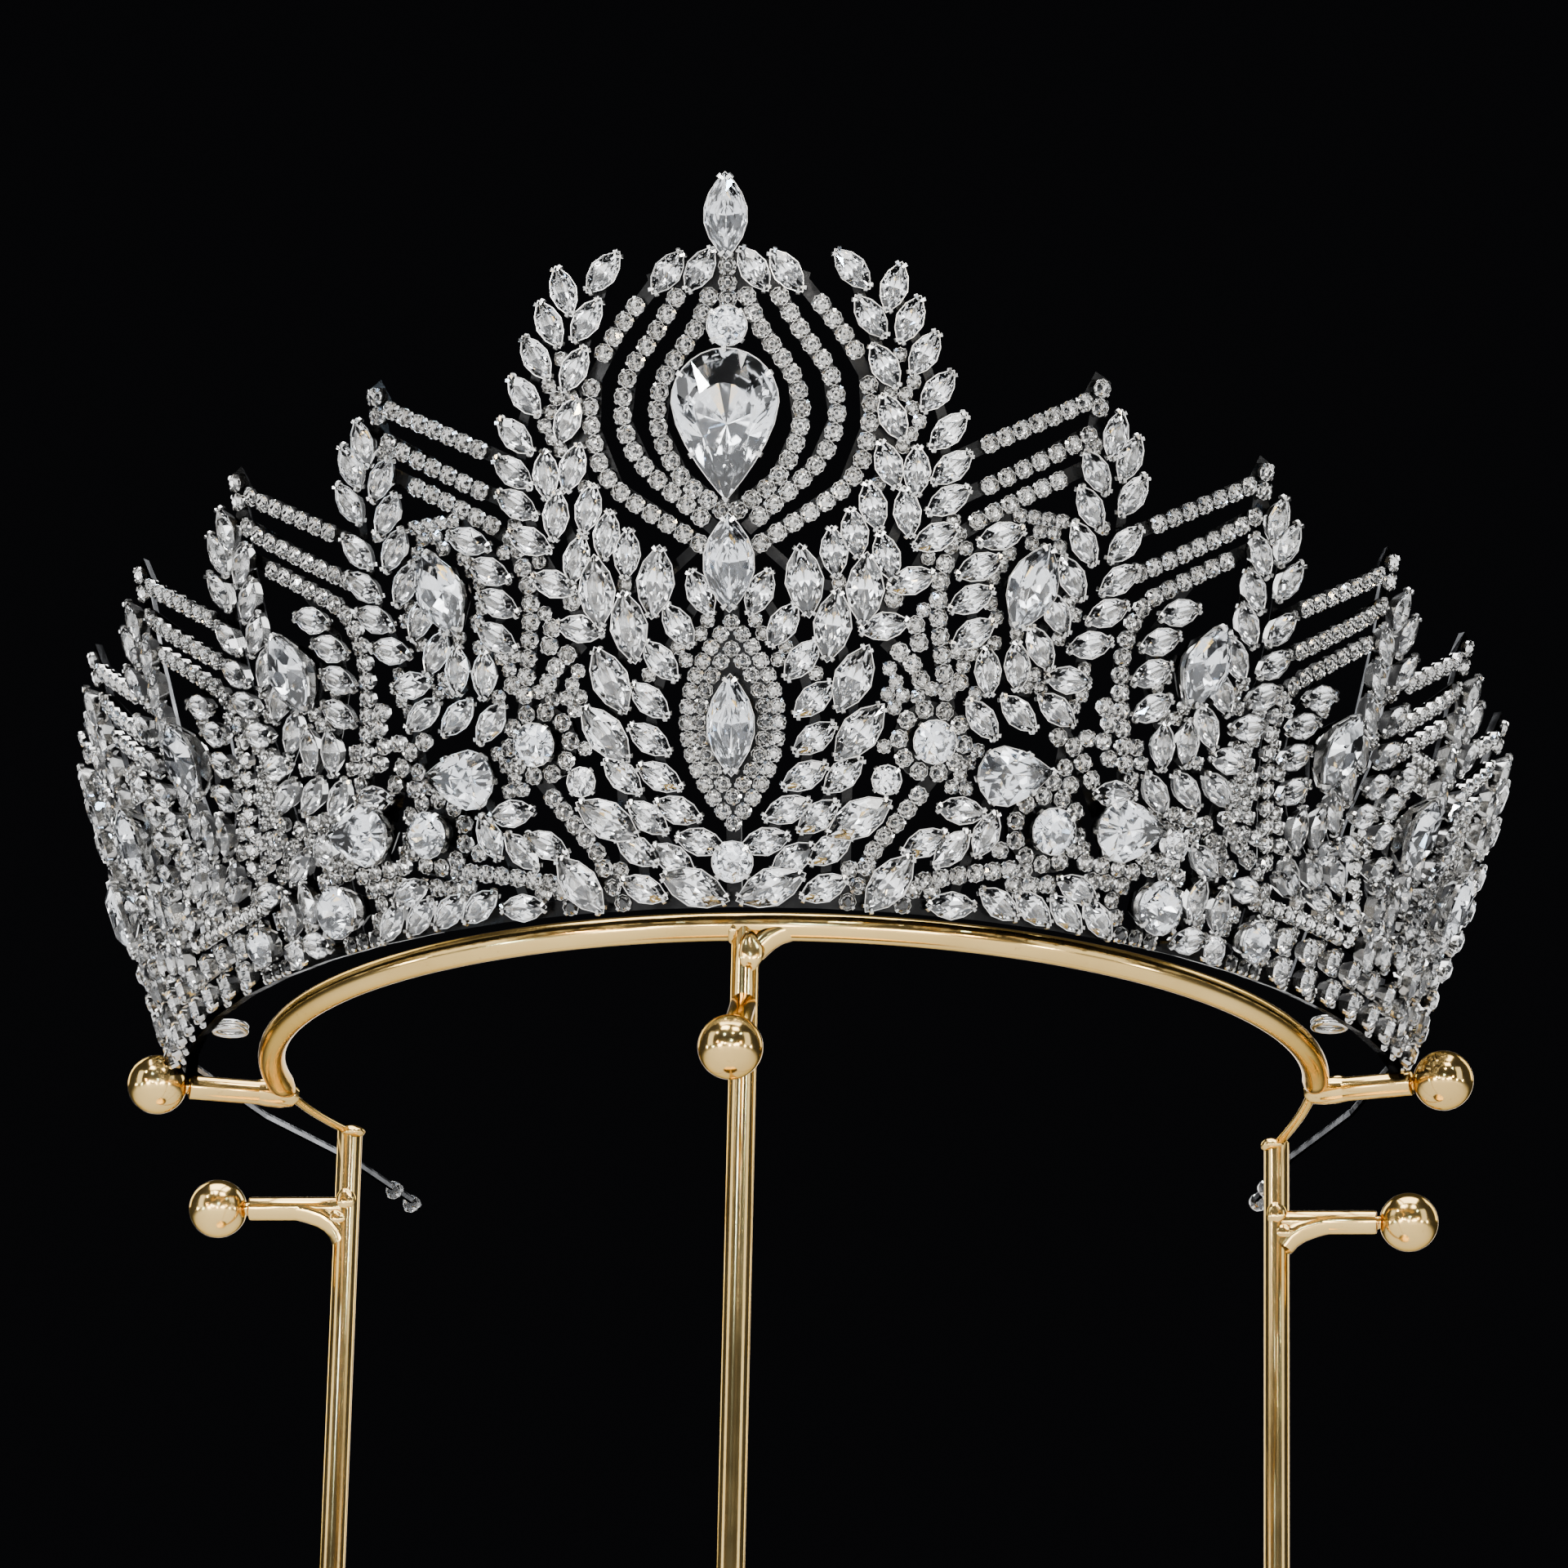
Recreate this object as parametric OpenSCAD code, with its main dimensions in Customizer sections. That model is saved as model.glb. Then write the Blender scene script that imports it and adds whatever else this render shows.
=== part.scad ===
// Pageant crown with marquise sprays and cup chain lines, on its gold wire stand.
// The wall of the crown is a cone that leans outward, opened at the back.
// A place on it is an angle in degrees from the front and a height in millimetres up the slope.
// Patterns are charted for the right half, as the viewer sees it, and mirrored to the left.

/* [Crown wall] */
// Radius of the wall's foot at the front
front_r = 66.3; // [60:0.1:75]
// How much wider the foot is at a right angle to the front
side_gain = 7.7; // [0:0.1:15]
// Outward lean of the wall in degrees
lean = 20; // [0:1:30]
// Angle from the front where each end of the wall stops
end_angle = 95; // [85:1:110]
// Height of the foot of the crown above the table
foot_z = 270; // [200:1:350]

/* [Frame] */
// Thickness of the base band
band_t = 1.6; // [1:0.1:3]
// Height of the base band
band_h = 1.8; // [1:0.1:4]
// Width of the strip under a cup chain
chain_w = 1.7; // [1:0.1:3]
// Thickness of the strip under a cup chain
chain_t = 1.0; // [0.6:0.1:2]
// Width of the stem under a row of leaves
stem_w = 1.2; // [0.8:0.1:2]
// Thickness of the stem under a row of leaves
stem_t = 0.9; // [0.6:0.1:2]
// Thickness of a seat or halo plate under a large stone
seat_t = 1.1; // [0.8:0.1:2]
// Share of the stone's outline that its seat covers
seat_share = 0.82; // [0.5:0.01:1]
// Diameter of the plain wire that runs to the back
wire_d = 1.0; // [0.8:0.1:2]

/* [Stones] */
// Gap between a stone and the metal behind it
stone_gap = 0.15; // [0.1:0.01:0.5]
// Width of a small leaf stone
leaf_w = 2.7; // [2:0.1:4]
// Length of a small leaf stone
leaf_l = 5.3; // [4:0.1:8]
// Width of a large leaf stone
big_leaf_w = 3.9; // [3:0.1:5]
// Length of a large leaf stone
big_leaf_l = 7.8; // [5:0.1:10]
// Depth of a stone below its girdle, as a share of its width
pavilion = 0.42; // [0.2:0.01:0.7]
// Height of a stone above its girdle, as a share of its width
crown_h = 0.2; // [0.1:0.01:0.4]
// Size of the table as a share of the outline
table = 0.55; // [0.4:0.01:0.8]

/* [Hair loops] */
// Inner diameter of a hairpin loop
loop_d = 3.2; // [2:0.1:8]
// Diameter of the loop's wire
loop_wire = 0.7; // [0.5:0.1:1.5]
// Angle from the front where a loop sits
loop_angle = 79; // [70:1:90]
// Clearance between a loop and the foot of the wall
loop_gap = 0.5; // [0.4:0.1:2]

/* [Stand] */
// How far the ring lies inside the foot of the wall at the front
ring_inset = 1.8; // [0.5:0.1:3]
// How far the ring sits to the right of the crown's middle
ring_shift = 1.05; // [-2:0.05:2]
// Diameter of the ring's tube
ring_d = 3.3; // [2:0.1:5]
// Gap between the crown and the stand
rest_gap = 0.2; // [0.1:0.05:1]
// Angle from the front where the round tube of the ring starts to narrow
tube_angle = 92; // [85:1:100]
// Angle from the front where the ring has become a thin flat wire
taper_angle = 98; // [94:1:106]
// Angle from the front of the side posts
post_angle = 113.5; // [105:0.5:125]
// How much lower the right post and its peg sit than the left ones
right_sag = 2.0; // [0:0.1:5]
// Diameter of the front post
front_post_d = 3.2; // [2:0.1:6]
// Diameter of a side post
side_post_d = 3.2; // [2:0.1:6]
// Thickness of the flattened ends of the ring
flat_t = 0.8; // [0.5:0.1:2]
// Width of the flattened ends of the ring
flat_w = 1.3; // [0.8:0.1:5]
// Diameter of a peg
peg_d = 3.0; // [2:0.1:5]
// Length of the front peg from its root to the centre of its ball
peg_l = 17; // [12:0.5:25]
// Clearance between an upper ball and the foot of the wall's end
ball_gap = 1.15; // [0.5:0.05:5]
// Length of a lower peg
lower_peg_l = 16.6; // [12:0.1:25]
// Diameter of a ball
ball_d = 7.4; // [5:0.1:10]
// Diameter of the screw between a peg and its ball
screw_d = 1.8; // [1:0.1:3]
// Clearance round that screw
screw_gap = 0.15; // [0.1:0.05:0.5]
// Depth of the front peg's root under the ring
front_drop = 9.2; // [6:0.1:30]
// Depth of the left lower peg under the ring
lower_drop = 10.1; // [8:0.1:30]
// Angle from the front of the upper pegs' roots
upper_angle = 97; // [90:1:105]
// Slope of the front peg in degrees
front_slope = 33; // [0:1:45]
// Turn of the upper pegs to the front in degrees
peg_turn = 17.5; // [0:0.5:40]
// Diameter of the base disc
base_d = 156; // [140:1:220]
// Thickness of the base disc
base_t = 5; // [3:0.5:12]

/* [Hidden] */
ring_z = foot_z - rest_gap - ring_d / 2;
ring_r = front_r - ring_inset;
upper_ball_r = foot_r(end_angle) + ball_d / 2 + ball_gap;
upper_turn = upper_angle - 90 + peg_turn;
upper_peg_l = sqrt(pow(upper_ball_r, 2) - pow(ring_r * sin(upper_turn), 2)) - ring_r * cos(upper_turn);
silver = [0.82, 0.82, 0.84];
crystal = [0.93, 0.95, 0.98];
gold = [0.83, 0.66, 0.36];

// Peaks from the front to the back
// columns: angle of the tip, height of the tip, outward drift in degrees for each mm down
PEAKS = [
    [28.0, 64.3, 0.00],
    [43.3, 59.0, 0.06],
    [58.8, 54.0, 0.12],
    [72.6, 49.5, 0.16],
    [84.6, 45.0, 0.16],
];
// Chain lines of a peak, as offsets from its tip
// columns: steps, then places as [angle, height]
PEAK_CHAINS = [
    [3, [[0.2, 0], [-0.6, -3.0], [-5.4, -7.4], [-11.6, -12.6]]],
    [3, [[0.3, -1.0], [0.2, -6.4], [-5.8, -12.7], [-11.6, -17.6]]],
    [5, [[0.3, -10.6], [-5.8, -16.2], [-9.6, -20.4], [-10.9, -27], [-10.1, -34.5], [-9, -40.5]]],
];
// The stem that bends round the tilted marquise, as offsets from the tip
PEAK_HOOK = [[-5.0, -16.4], [-7.8, -22.4], [-8.0, -28.8], [-6.2, -34.0], [-2.6, -37.4], [1.9, -37.6]];
// Rows of leaves of a peak, as offsets from its tip
// columns: count, tilt of the first, tilt of the last, places along the row
SPRAY_ROWS = [
    [7, 4, 72, [[1.7, -6.6], [3.7, -10.6], [4.0, -18.8], [3.9, -25.0], [2.5, -31.0]]],
    [6, -40, -36, [[0.6, -11.2], [0.3, -21.6], [-1.9, -32.2]]],
];
// The tilted marquise inside a peak
// columns: angle offset, height offset, tilt
PEAK_STONE = [-3.6, -25.4, 15];
PEAK_STONE_SIZE = [6.0, 10.6];

// Leaf rows of the main branch beside the centre column, and the pair under the finial
// columns: count, tilt of the first, tilt of the last, places along the row
BRANCH_ROWS = [
    [10, 14, 76, [[11.8, 71.6], [14.6, 63.3], [16.9, 53.5], [16.6, 44.6], [12.7, 32.8]]],
    [8, -44, -8, [[8.8, 73.4], [11.2, 64], [12.4, 54], [10.9, 45.5], [8.3, 41]]],
    [3, -3, -20, [[14.4, 50.8], [13.9, 46], [12.5, 40.8]]],
    [2, -33, -38, [[1.9, 73.2], [4.2, 73.0]]],
];
// Small leaves of the laurel round the halo
LAUREL_ROWS = [
    [8, 24, 76, [[2.4, 36.2], [5.6, 29.6], [7.3, 21.8], [6.2, 14.2], [3.0, 7.6]]],
    [3, 45, 56, [[9.9, 15.5], [7.8, 10.6], [5.6, 5.7]]],
    [2, 55, 66, [[9.0, 6.9], [8.6, 2.4]]],
];
// Large leaves of the laurel
LAUREL_BIG_ROWS = [
    [4, -9, 38, [[6.0, 37.6], [8.4, 32.6], [10.3, 26.6], [11.1, 20.5]]],
    [2, 58, 68, [[11.5, 10.6], [3.6, 2.4]]],
    [2, 0, 36, [[10.9, 36.9], [14.7, 3.4]]],
];
// Leaves along the lower edge
EDGE_ROWS = [
    [1, 86, 86, [[21.0, 1.4], [21.0, 1.4]]],
    [4, -62, -50, [[25.7, 2.2], [36.2, 2.2]]],
    [1, 72, 72, [[47, 2.0], [47, 2.0]]],
];
// Round stones along the lower edge toward the ends
EDGE_ROUNDS = [8, 60, 91, 1.9, 3.2];

// Centre column from the top down
// columns: name, shape, width, length, height, tilt
CENTRE = [
    ["finial_stone", "marquise", 4.9, 9.8, 79.3, 0],
    ["top_round_stone", "round", 4.5, 4.5, 66.7, 0],
    ["centre_pear_stone", "pear", 12.2, 17.2, 55.4, 180],
    ["upper_marquise_stone", "marquise", 5.8, 11.2, 39.6, 0],
    ["halo_marquise_stone", "marquise", 5.4, 11.6, 21.0, 0],
    ["low_round_stone", "round", 4.6, 4.6, 5.3, 0],
];
// Large stones of the lower field
// columns: name, shape, width, length, angle, height, tilt, halo radius or 0
LOWER = [
    ["inner_round", "round", 4.5, 4.5, 17.7, 20, 0, 3.7],
    ["inner_pear", "pear", 6.8, 9.2, 25.1, 17.2, 78, 0],
    ["outer_round", "round", 5.2, 5.2, 29.7, 11.4, 0, 4.0],
    ["outer_pear", "pear", 7.2, 9.4, 37.1, 13.0, 80, 0],
    ["edge_round", "round", 6.2, 6.2, 42.0, 4.9, 0, 0],
    ["far_round", "round", 4.8, 4.8, 54.8, 4.0, 0, 0],
];
// Halo plate behind the halo marquise: width, length and height of its centre
HALO = [9.6, 23.6, 21.2];

// Ovals of chain round the centre pear, and chains of the lower field
// columns: steps, then places as [angle, height]
CENTRE_CHAINS = [
    [5, [[0.5, 74], [2.2, 67], [4.9, 60.7], [5.4, 55.3], [3.8, 49.6], [0.6, 45.6]]],
    [5, [[2.3, 73.8], [5.2, 66.5], [7.5, 61.5], [8.1, 56.2], [6.6, 50.8], [1.2, 43.4]]],
    [5, [[4.9, 72.6], [8.2, 66.5], [10.2, 61.5], [10.6, 55.5], [9.0, 48.6], [1.2, 40.6]]],
];
LOWER_CHAINS = [
    [3, [[18.8, 17], [15.5, 11.0], [12.8, 6], [12.4, 1]]],
    [2, [[18.2, 3.9], [24, 5.6], [31.5, 7.6]]],
    [2, [[13.0, 31.2], [15.8, 28], [17.2, 23]]],
    [2, [[28.6, 24.8], [31.0, 21.2], [33.0, 18.3], [34.8, 14]]],
    [6, [[36, 10], [46, 8.8], [60, 8.6], [75, 8.6], [92, 7.4]]],
];

// Every stem and post of the frame that carries no leaf row
// columns: steps, then places as [angle, height]
LINKS = [
    [1, [[10.2, 55.4], [12.6, 54.2]]],
    [1, [[12.5, 41.4], [12.9, 32.8]]],
    [1, [[8.4, 41.8], [5.8, 37]]],
    [1, [[6.2, 37.4], [2.4, 42]]],
    [1, [[12.9, 36.2], [6.0, 37.6]]],
    [1, [[0.3, 38.4], [2.7, 35.6]]],
    [2, [[11.2, 21.0], [10.4, 15], [10.8, 1]]],
    [2, [[3.0, 8.4], [4.9, 5.6], [5.2, 1]]],
    [1, [[8.7, 1], [9.1, 12.8]]],
    [1, [[14.7, 1], [14.7, 4.4]]],
    [1, [[21.2, 1], [24.2, 16.4]]],
    [1, [[37.2, 1], [37.2, 13]]],
    [1, [[42, 1], [42, 9.6]]],
    [2, [[54.8, 1], [54.8, 14.4]]],
];

// Places on the wall

function foot_r(a) = front_r + side_gain * pow(abs(a) / 90, 3);
function wall_normal(a) = [cos(lean) * sin(a), -cos(lean) * cos(a), -sin(lean)];
function wall_point(p, out = 0) =
    let (r = foot_r(p[0]) + p[1] * sin(lean))
    [r * sin(p[0]), -r * cos(p[0]), foot_z + p[1] * cos(lean)] + out * wall_normal(p[0]);

// A smooth line through the places of a row, with t from 0 to 1
function along(row, t) =
    let (
        last = len(row) - 1,
        i = min(floor(t * last), last - 1),
        f = t * last - i,
        b = row[i],
        c = row[i + 1],
        a = i > 0 ? row[i - 1] : 2 * b - c,
        d = i + 2 > last ? 2 * c - b : row[i + 2]
    )
    b + f * ((c - a) / 2 + f * (a - 2.5 * b + 2 * c - d / 2 + f * (1.5 * b - a / 2 - 1.5 * c + d / 2)));

function mirrored(row, side) = [for (p = row) [side * p[0], p[1]]];
function from_peak(peak, row) =
    [for (p = row) [peak[0] + p[0] - peak[2] * p[1], peak[1] + p[1]]];

// Puts its children on the wall with Y up the slope and Z outward, tilted toward larger angles
module on_wall(place, out, tilt) {
    translate(wall_point(place, out))
        rotate([0, 0, place[0]])
            rotate([90 + lean, 0, 0])
                rotate([0, 0, -tilt])
                    children();
}

// Sections of the bars, counter-clockwise: places as [across, out of the wall]
function ridged(w, low, high) = [[0, low], [w / 2, high], [-w / 2, high]];
function flat(w, low, high) = [[-w / 2, low], [w / 2, low], [w / 2, high], [-w / 2, high]];

// A bar of one section that follows a row of places
module strip(row, steps, section) {
    m = len(section);
    places = [for (i = [0:steps]) along(row, i / steps)];
    rings = [
        for (i = [0:steps])
            let (
                n = wall_normal(places[i][0]),
                run = wall_point(places[min(i + 1, steps)]) - wall_point(places[max(i - 1, 0)]),
                across = cross(n, run) / norm(cross(n, run)),
                p = wall_point(places[i])
            )
            for (v = section) p + v[0] * across + v[1] * n
    ];
    sides = [
        for (i = [0:steps - 1], k = [0:m - 1])
            let (a = m * i + k, b = m * i + (k + 1) % m)
            each [[b + m, b, a], [a + m, b + m, a]]
    ];
    start = [for (k = [0:m - 1]) k];
    end = [for (k = [m - 1:-1:0]) m * steps + k];
    polyhedron(points = rings, faces = concat([start], sides, [end]));
}

// Outlines of the stones, counter-clockwise from the lower end

function marquise_outline(w, l, n) =
    [for (i = [0:2 * n - 1])
        let (side = i < n ? 1 : -1, t = i < n ? i / n : (2 * n - i) / n, y = -cos(180 * t))
        [side * w / 2 * (1 - y * y), l / 2 * y]];
function round_outline(d, n) =
    [for (i = [0:2 * n - 1]) d / 2 * [sin(180 * i / n), -cos(180 * i / n)]];
function pear_outline(w, l, n) =
    [for (i = [0:2 * n - 1])
        let (
            side = i < n ? 1 : -1,
            t = i < n ? i / n : (2 * n - i) / n,
            y = -cos(180 * t),
            x = y < 0 ? sqrt(1 - y * y) : 1 - pow(y, 1.6)
        )
        [side * w / 2 * x, y < 0 ? (w / 2) * y - (l - w) / 2 : (l - w / 2) * y - (l - w) / 2]];
function outline(shape, w, l, n) =
    shape == "marquise" ? marquise_outline(w, l, n)
    : shape == "pear" ? pear_outline(w, l, n)
    : round_outline(w, n);

// A cut stone that stands on its culet: pavilion, girdle, crown facets and table
module cut_stone(shape, w, l, n, girdle) {
    base = outline(shape, w, l, n);
    m = len(base);
    levels = girdle > 0
        ? [[1, w * pavilion], [1, w * pavilion + girdle], [table, w * (pavilion + crown_h) + girdle]]
        : [[1, w * pavilion], [table, w * (pavilion + crown_h)]];
    rings = [for (v = levels, p = base) [p[0] * v[0], p[1] * v[0], v[1]]];
    count = len(levels);
    polyhedron(
        points = concat([[0, 0, 0]], rings),
        faces = concat(
            [for (i = [0:m - 1]) [0, 1 + i, 1 + (i + 1) % m]],
            [for (v = [0:count - 2], i = [0:m - 1])
                let (a = 1 + v * m + i, b = 1 + v * m + (i + 1) % m)
                [a, a + m, b + m, b]],
            [[for (i = [m - 1:-1:0]) 1 + (count - 1) * m + i]]
        )
    );
}

stone_out = seat_t + stone_gap;

module small_leaf(place, tilt, w, l) {
    color(crystal) on_wall(place, stone_out, tilt) cut_stone("marquise", w, l, 4, 0);
}

module leaf_row(row, side, w, l) {
    count = row[0];
    for (i = [0:count - 1]) {
        t = count > 1 ? i / (count - 1) : 0;
        place = along(row[3], t);
        small_leaf([side * place[0], place[1]], side * (row[1] + t * (row[2] - row[1])), w, l);
    }
}

module main_stone(shape, w, l, place, tilt) {
    color(crystal) on_wall(place, stone_out, tilt) cut_stone(shape, w, l, 6, 0.3);
}

// A seat narrows toward the back of the wall
module seat(shape, w, l, place, tilt) {
    on_wall(place, 0, tilt)
        linear_extrude(seat_t, scale = 1.25)
            polygon(outline(shape, w * seat_share / 1.25, l * seat_share / 1.25, 3));
}

// Rows that cross have slightly different heights
module chain_strips(rows, side) {
    for (k = [0:len(rows) - 1])
        strip(mirrored(rows[k][1], side), rows[k][0], ridged(chain_w, 0.03 * k, chain_t - 0.04 * k));
}

module leaf_stems(rows, side) {
    for (k = [0:len(rows) - 1])
        if (rows[k][0] > 2)
            strip(mirrored(rows[k][3], side), ceil(rows[k][0] / 2),
                ridged(stem_w, 0.12 + 0.03 * k, stem_t - 0.03 * k));
}

module peak_frame(peak, side) {
    chain_strips([for (row = PEAK_CHAINS) [row[0], from_peak(peak, row[1])]], side);
    outer = from_peak(peak, concat([[0.2, -3.4]], SPRAY_ROWS[0][3]));
    foot = [min(outer[5][0] - 1, end_angle - 3), 1];
    strip(mirrored(concat(outer, [foot]), side), 6, ridged(stem_w, 0.15, stem_t - 0.05));
    inner = from_peak(peak, concat([[0.5, -5.4]], SPRAY_ROWS[1][3], [[1.9, -37]]));
    strip(mirrored(inner, side), 4, ridged(stem_w, 0.18, stem_t));
    stone = from_peak(peak, [PEAK_STONE])[0];
    strip(mirrored(from_peak(peak, PEAK_HOOK), side), 5, ridged(stem_w, 0.08, stem_t - 0.08));
    strip(mirrored(from_peak(peak, [[-7.8, -25.4], [0, -25.2]]), side), 1, ridged(stem_w, 0.06, stem_t - 0.15));
    seat("marquise", PEAK_STONE_SIZE[0], PEAK_STONE_SIZE[1], [side * stone[0], stone[1]], side * PEAK_STONE[2]);
}

module lower_frame(row, side) {
    place = [side * row[4], row[5]];
    if (row[7] > 0)
        on_wall(place, -0.1, 0) cylinder(h = seat_t - 0.1, r = row[7] + chain_w / 2, $fn = 12);
    else
        seat(row[1], row[2], row[3], place, side * row[6]);
}

// Plain wire from an end of the band to the back
// columns: angle from the front, distance outside the wall's foot at its end
REAR = [[94, -0.15], [112, -0.15], [129, 4.05], [142.9, 17.4]];
module rear_wire(side) {
    end_r = foot_r(end_angle);
    joints = [for (p = REAR) let (r = end_r + p[1]) [side * r * sin(p[0]), -r * cos(p[0]), foot_z + 1.1]];
    for (i = [0:len(joints) - 2])
        hull() {
            translate(joints[i]) sphere(d = wire_d, $fn = 5);
            translate(joints[i + 1]) sphere(d = wire_d, $fn = 5);
        }
}

module crown_frame() color(silver) {
    band = [for (i = [-4:4]) [i * end_angle / 4, band_h / 2]];
    strip(band, 24, flat(band_h, -0.3, band_t - 0.3));
    for (side = [-1, 1]) {
        for (peak = PEAKS)
            peak_frame(peak, side);
        for (row = LOWER)
            lower_frame(row, side);
        chain_strips(CENTRE_CHAINS, side);
        chain_strips(LOWER_CHAINS, side);
        leaf_stems(BRANCH_ROWS, side);
        leaf_stems(LAUREL_ROWS, side);
        leaf_stems(LAUREL_BIG_ROWS, side);
        for (row = LINKS)
            strip(mirrored(row[1], side), row[0], ridged(stem_w, 0.05, stem_t - 0.1));
        rear_wire(side);
    }
    strip([[0, 0.5], [0, 80]], 1, flat(chain_w, -0.05, chain_t + 0.05));
    strip([[-5.8, 72.3], [0, 74.6], [5.8, 72.3]], 4, ridged(stem_w, 0.1, stem_t + 0.02));
    on_wall([0, HALO[2]], -0.1, 0)
        linear_extrude(seat_t) polygon(marquise_outline(HALO[0], HALO[1], 6));
    for (row = CENTRE)
        if (row[0] != "halo_marquise_stone")
            seat(row[1], row[2], row[3], [0, row[4]], row[5]);
}

module hair_loop(side) color(silver) {
    r = foot_r(loop_angle) - loop_d / 2 - loop_wire - loop_gap;
    rotate([0, 0, side * loop_angle]) translate([0, -r, foot_z + loop_wire * 0.8])
        for (k = [0, 1])
            translate([0, 0, k * loop_wire * 0.9])
                rotate_extrude($fn = 48) translate([(loop_d + loop_wire) / 2, 0]) circle(d = loop_wire, $fn = 24);
}

// Stand

function on_ring(a) = [ring_shift + ring_r * sin(a), -ring_r * cos(a)];
function sag(side) = side > 0 ? right_sag : 0;
// Name, root, heading, slope and length of each peg
PEGS = concat(
    [let (p = on_ring(0)) ["ball_front", [p[0], p[1], ring_z - front_drop], 0, -front_slope, peg_l]],
    [for (side = [-1, 1]) let (p = on_ring(side * upper_angle))
        [side < 0 ? "ball_upper_left" : "ball_upper_right", [p[0], p[1], ring_z],
         side * (90 - peg_turn), 0, upper_peg_l]],
    [for (side = [-1, 1]) let (p = on_ring(side * post_angle))
        [side < 0 ? "ball_lower_left" : "ball_lower_right", [p[0], p[1], ring_z - lower_drop - sag(side)],
         side * 90, 0, lower_peg_l]]
);

// Turns +Z to a heading from the front and a slope up
module head(root, heading, slope) {
    translate(root) rotate([0, 0, heading]) rotate([90 - slope, 0, 0]) children();
}

module peg(root, heading, slope, length) {
    head(root, heading, slope) {
        cylinder(h = length - ball_d / 2 - 0.3, d = peg_d, $fn = 48);
        cylinder(h = length - 0.5, d = screw_d, $fn = 32);
    }
}

module ball(root, heading, slope, length) color(gold) {
    head(root, heading, slope)
        difference() {
            translate([0, 0, length]) sphere(d = ball_d, $fn = 64);
            cylinder(h = length, d = screw_d + 2 * screw_gap, $fn = 32);
        }
}

// Thin slab across a flattened end of the ring
module flat_cut(a, drop) {
    p = on_ring(a);
    translate([p[0], p[1], ring_z - drop]) rotate([0, 0, a]) cube([0.4, flat_w, flat_t], center = true);
}

// End of the ring: it narrows, then runs to its side post as a flat wire
module ring_end(side) {
    start = tube_angle - 0.5;
    middle = (taper_angle + post_angle) / 2;
    p = on_ring(side * start);
    hull() {
        translate([p[0], p[1], ring_z]) rotate([0, 0, side * start]) rotate([0, 90, 0])
            cylinder(h = 0.3, d = ring_d - 0.06, center = true, $fn = 32);
        flat_cut(side * taper_angle, 0);
    }
    hull() {
        flat_cut(side * (taper_angle - 0.2), 0);
        flat_cut(side * middle, 0.4 * sag(side));
    }
    hull() {
        flat_cut(side * middle, 0.4 * sag(side));
        flat_cut(side * post_angle, sag(side));
    }
}

module display_stand() color(gold) {
    cylinder(h = base_t, d = base_d, $fn = 128);
    translate([ring_shift, -ring_r, base_t / 2])
        cylinder(h = ring_z - base_t / 2, d = front_post_d, $fn = 48);
    translate([ring_shift, 0, ring_z])
        rotate([0, 0, -90 - tube_angle])
            rotate_extrude(angle = 2 * tube_angle, $fn = 128) translate([ring_r, 0]) circle(d = ring_d, $fn = 32);
    for (side = [-1, 1]) {
        p = on_ring(side * post_angle);
        top = ring_z + flat_t / 2 - sag(side);
        translate([p[0], p[1], base_t / 2])
            cylinder(h = top - base_t / 2, d = side_post_d, $fn = 48);
        ring_end(side);
    }
    for (p = PEGS)
        peg(p[1], p[2], p[3], p[4]);
}

// Assembly

display_stand();
for (p = PEGS)
    ball(p[1], p[2], p[3], p[4]);
crown_frame();
for (row = CENTRE)
    main_stone(row[1], row[2], row[3], [0, row[4]], row[5]);
for (side = [-1, 1]) {
    name = side < 0 ? "left" : "right";
    hair_loop(side);
    for (row = LOWER)
        main_stone(row[1], row[2], row[3], [side * row[4], row[5]], side * row[6]);
    for (k = [1:len(PEAKS)]) {
        peak = PEAKS[k - 1];
        stone = from_peak(peak, [PEAK_STONE])[0];
        main_stone("marquise", PEAK_STONE_SIZE[0], PEAK_STONE_SIZE[1], [side * stone[0], stone[1]],
                side * PEAK_STONE[2]);
        for (row = SPRAY_ROWS)
                leaf_row([row[0], row[1], row[2], from_peak(peak, row[3])], side, leaf_w, leaf_l);
    }
    for (row = BRANCH_ROWS) leaf_row(row, side, leaf_w, leaf_l);
    union() {
        for (row = LAUREL_ROWS) leaf_row(row, side, leaf_w, leaf_l);
        for (row = LAUREL_BIG_ROWS) leaf_row(row, side, big_leaf_w, big_leaf_l);
    }
    union() {
        for (row = EDGE_ROWS) leaf_row(row, side, leaf_w, leaf_l);
        for (i = [0:EDGE_ROUNDS[0] - 1]) {
            a = EDGE_ROUNDS[1] + i * (EDGE_ROUNDS[2] - EDGE_ROUNDS[1]) / (EDGE_ROUNDS[0] - 1);
            color(crystal) on_wall([side * a, EDGE_ROUNDS[3]], stone_out, 0)
                cut_stone("round", EDGE_ROUNDS[4], EDGE_ROUNDS[4], 4, 0);
        }
    }
}
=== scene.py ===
# Pageant crown on its wire display stand: cut stones in their settings, cup chains, metals and studio.
import math
import bpy
from mathutils import Matrix, Vector


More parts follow.
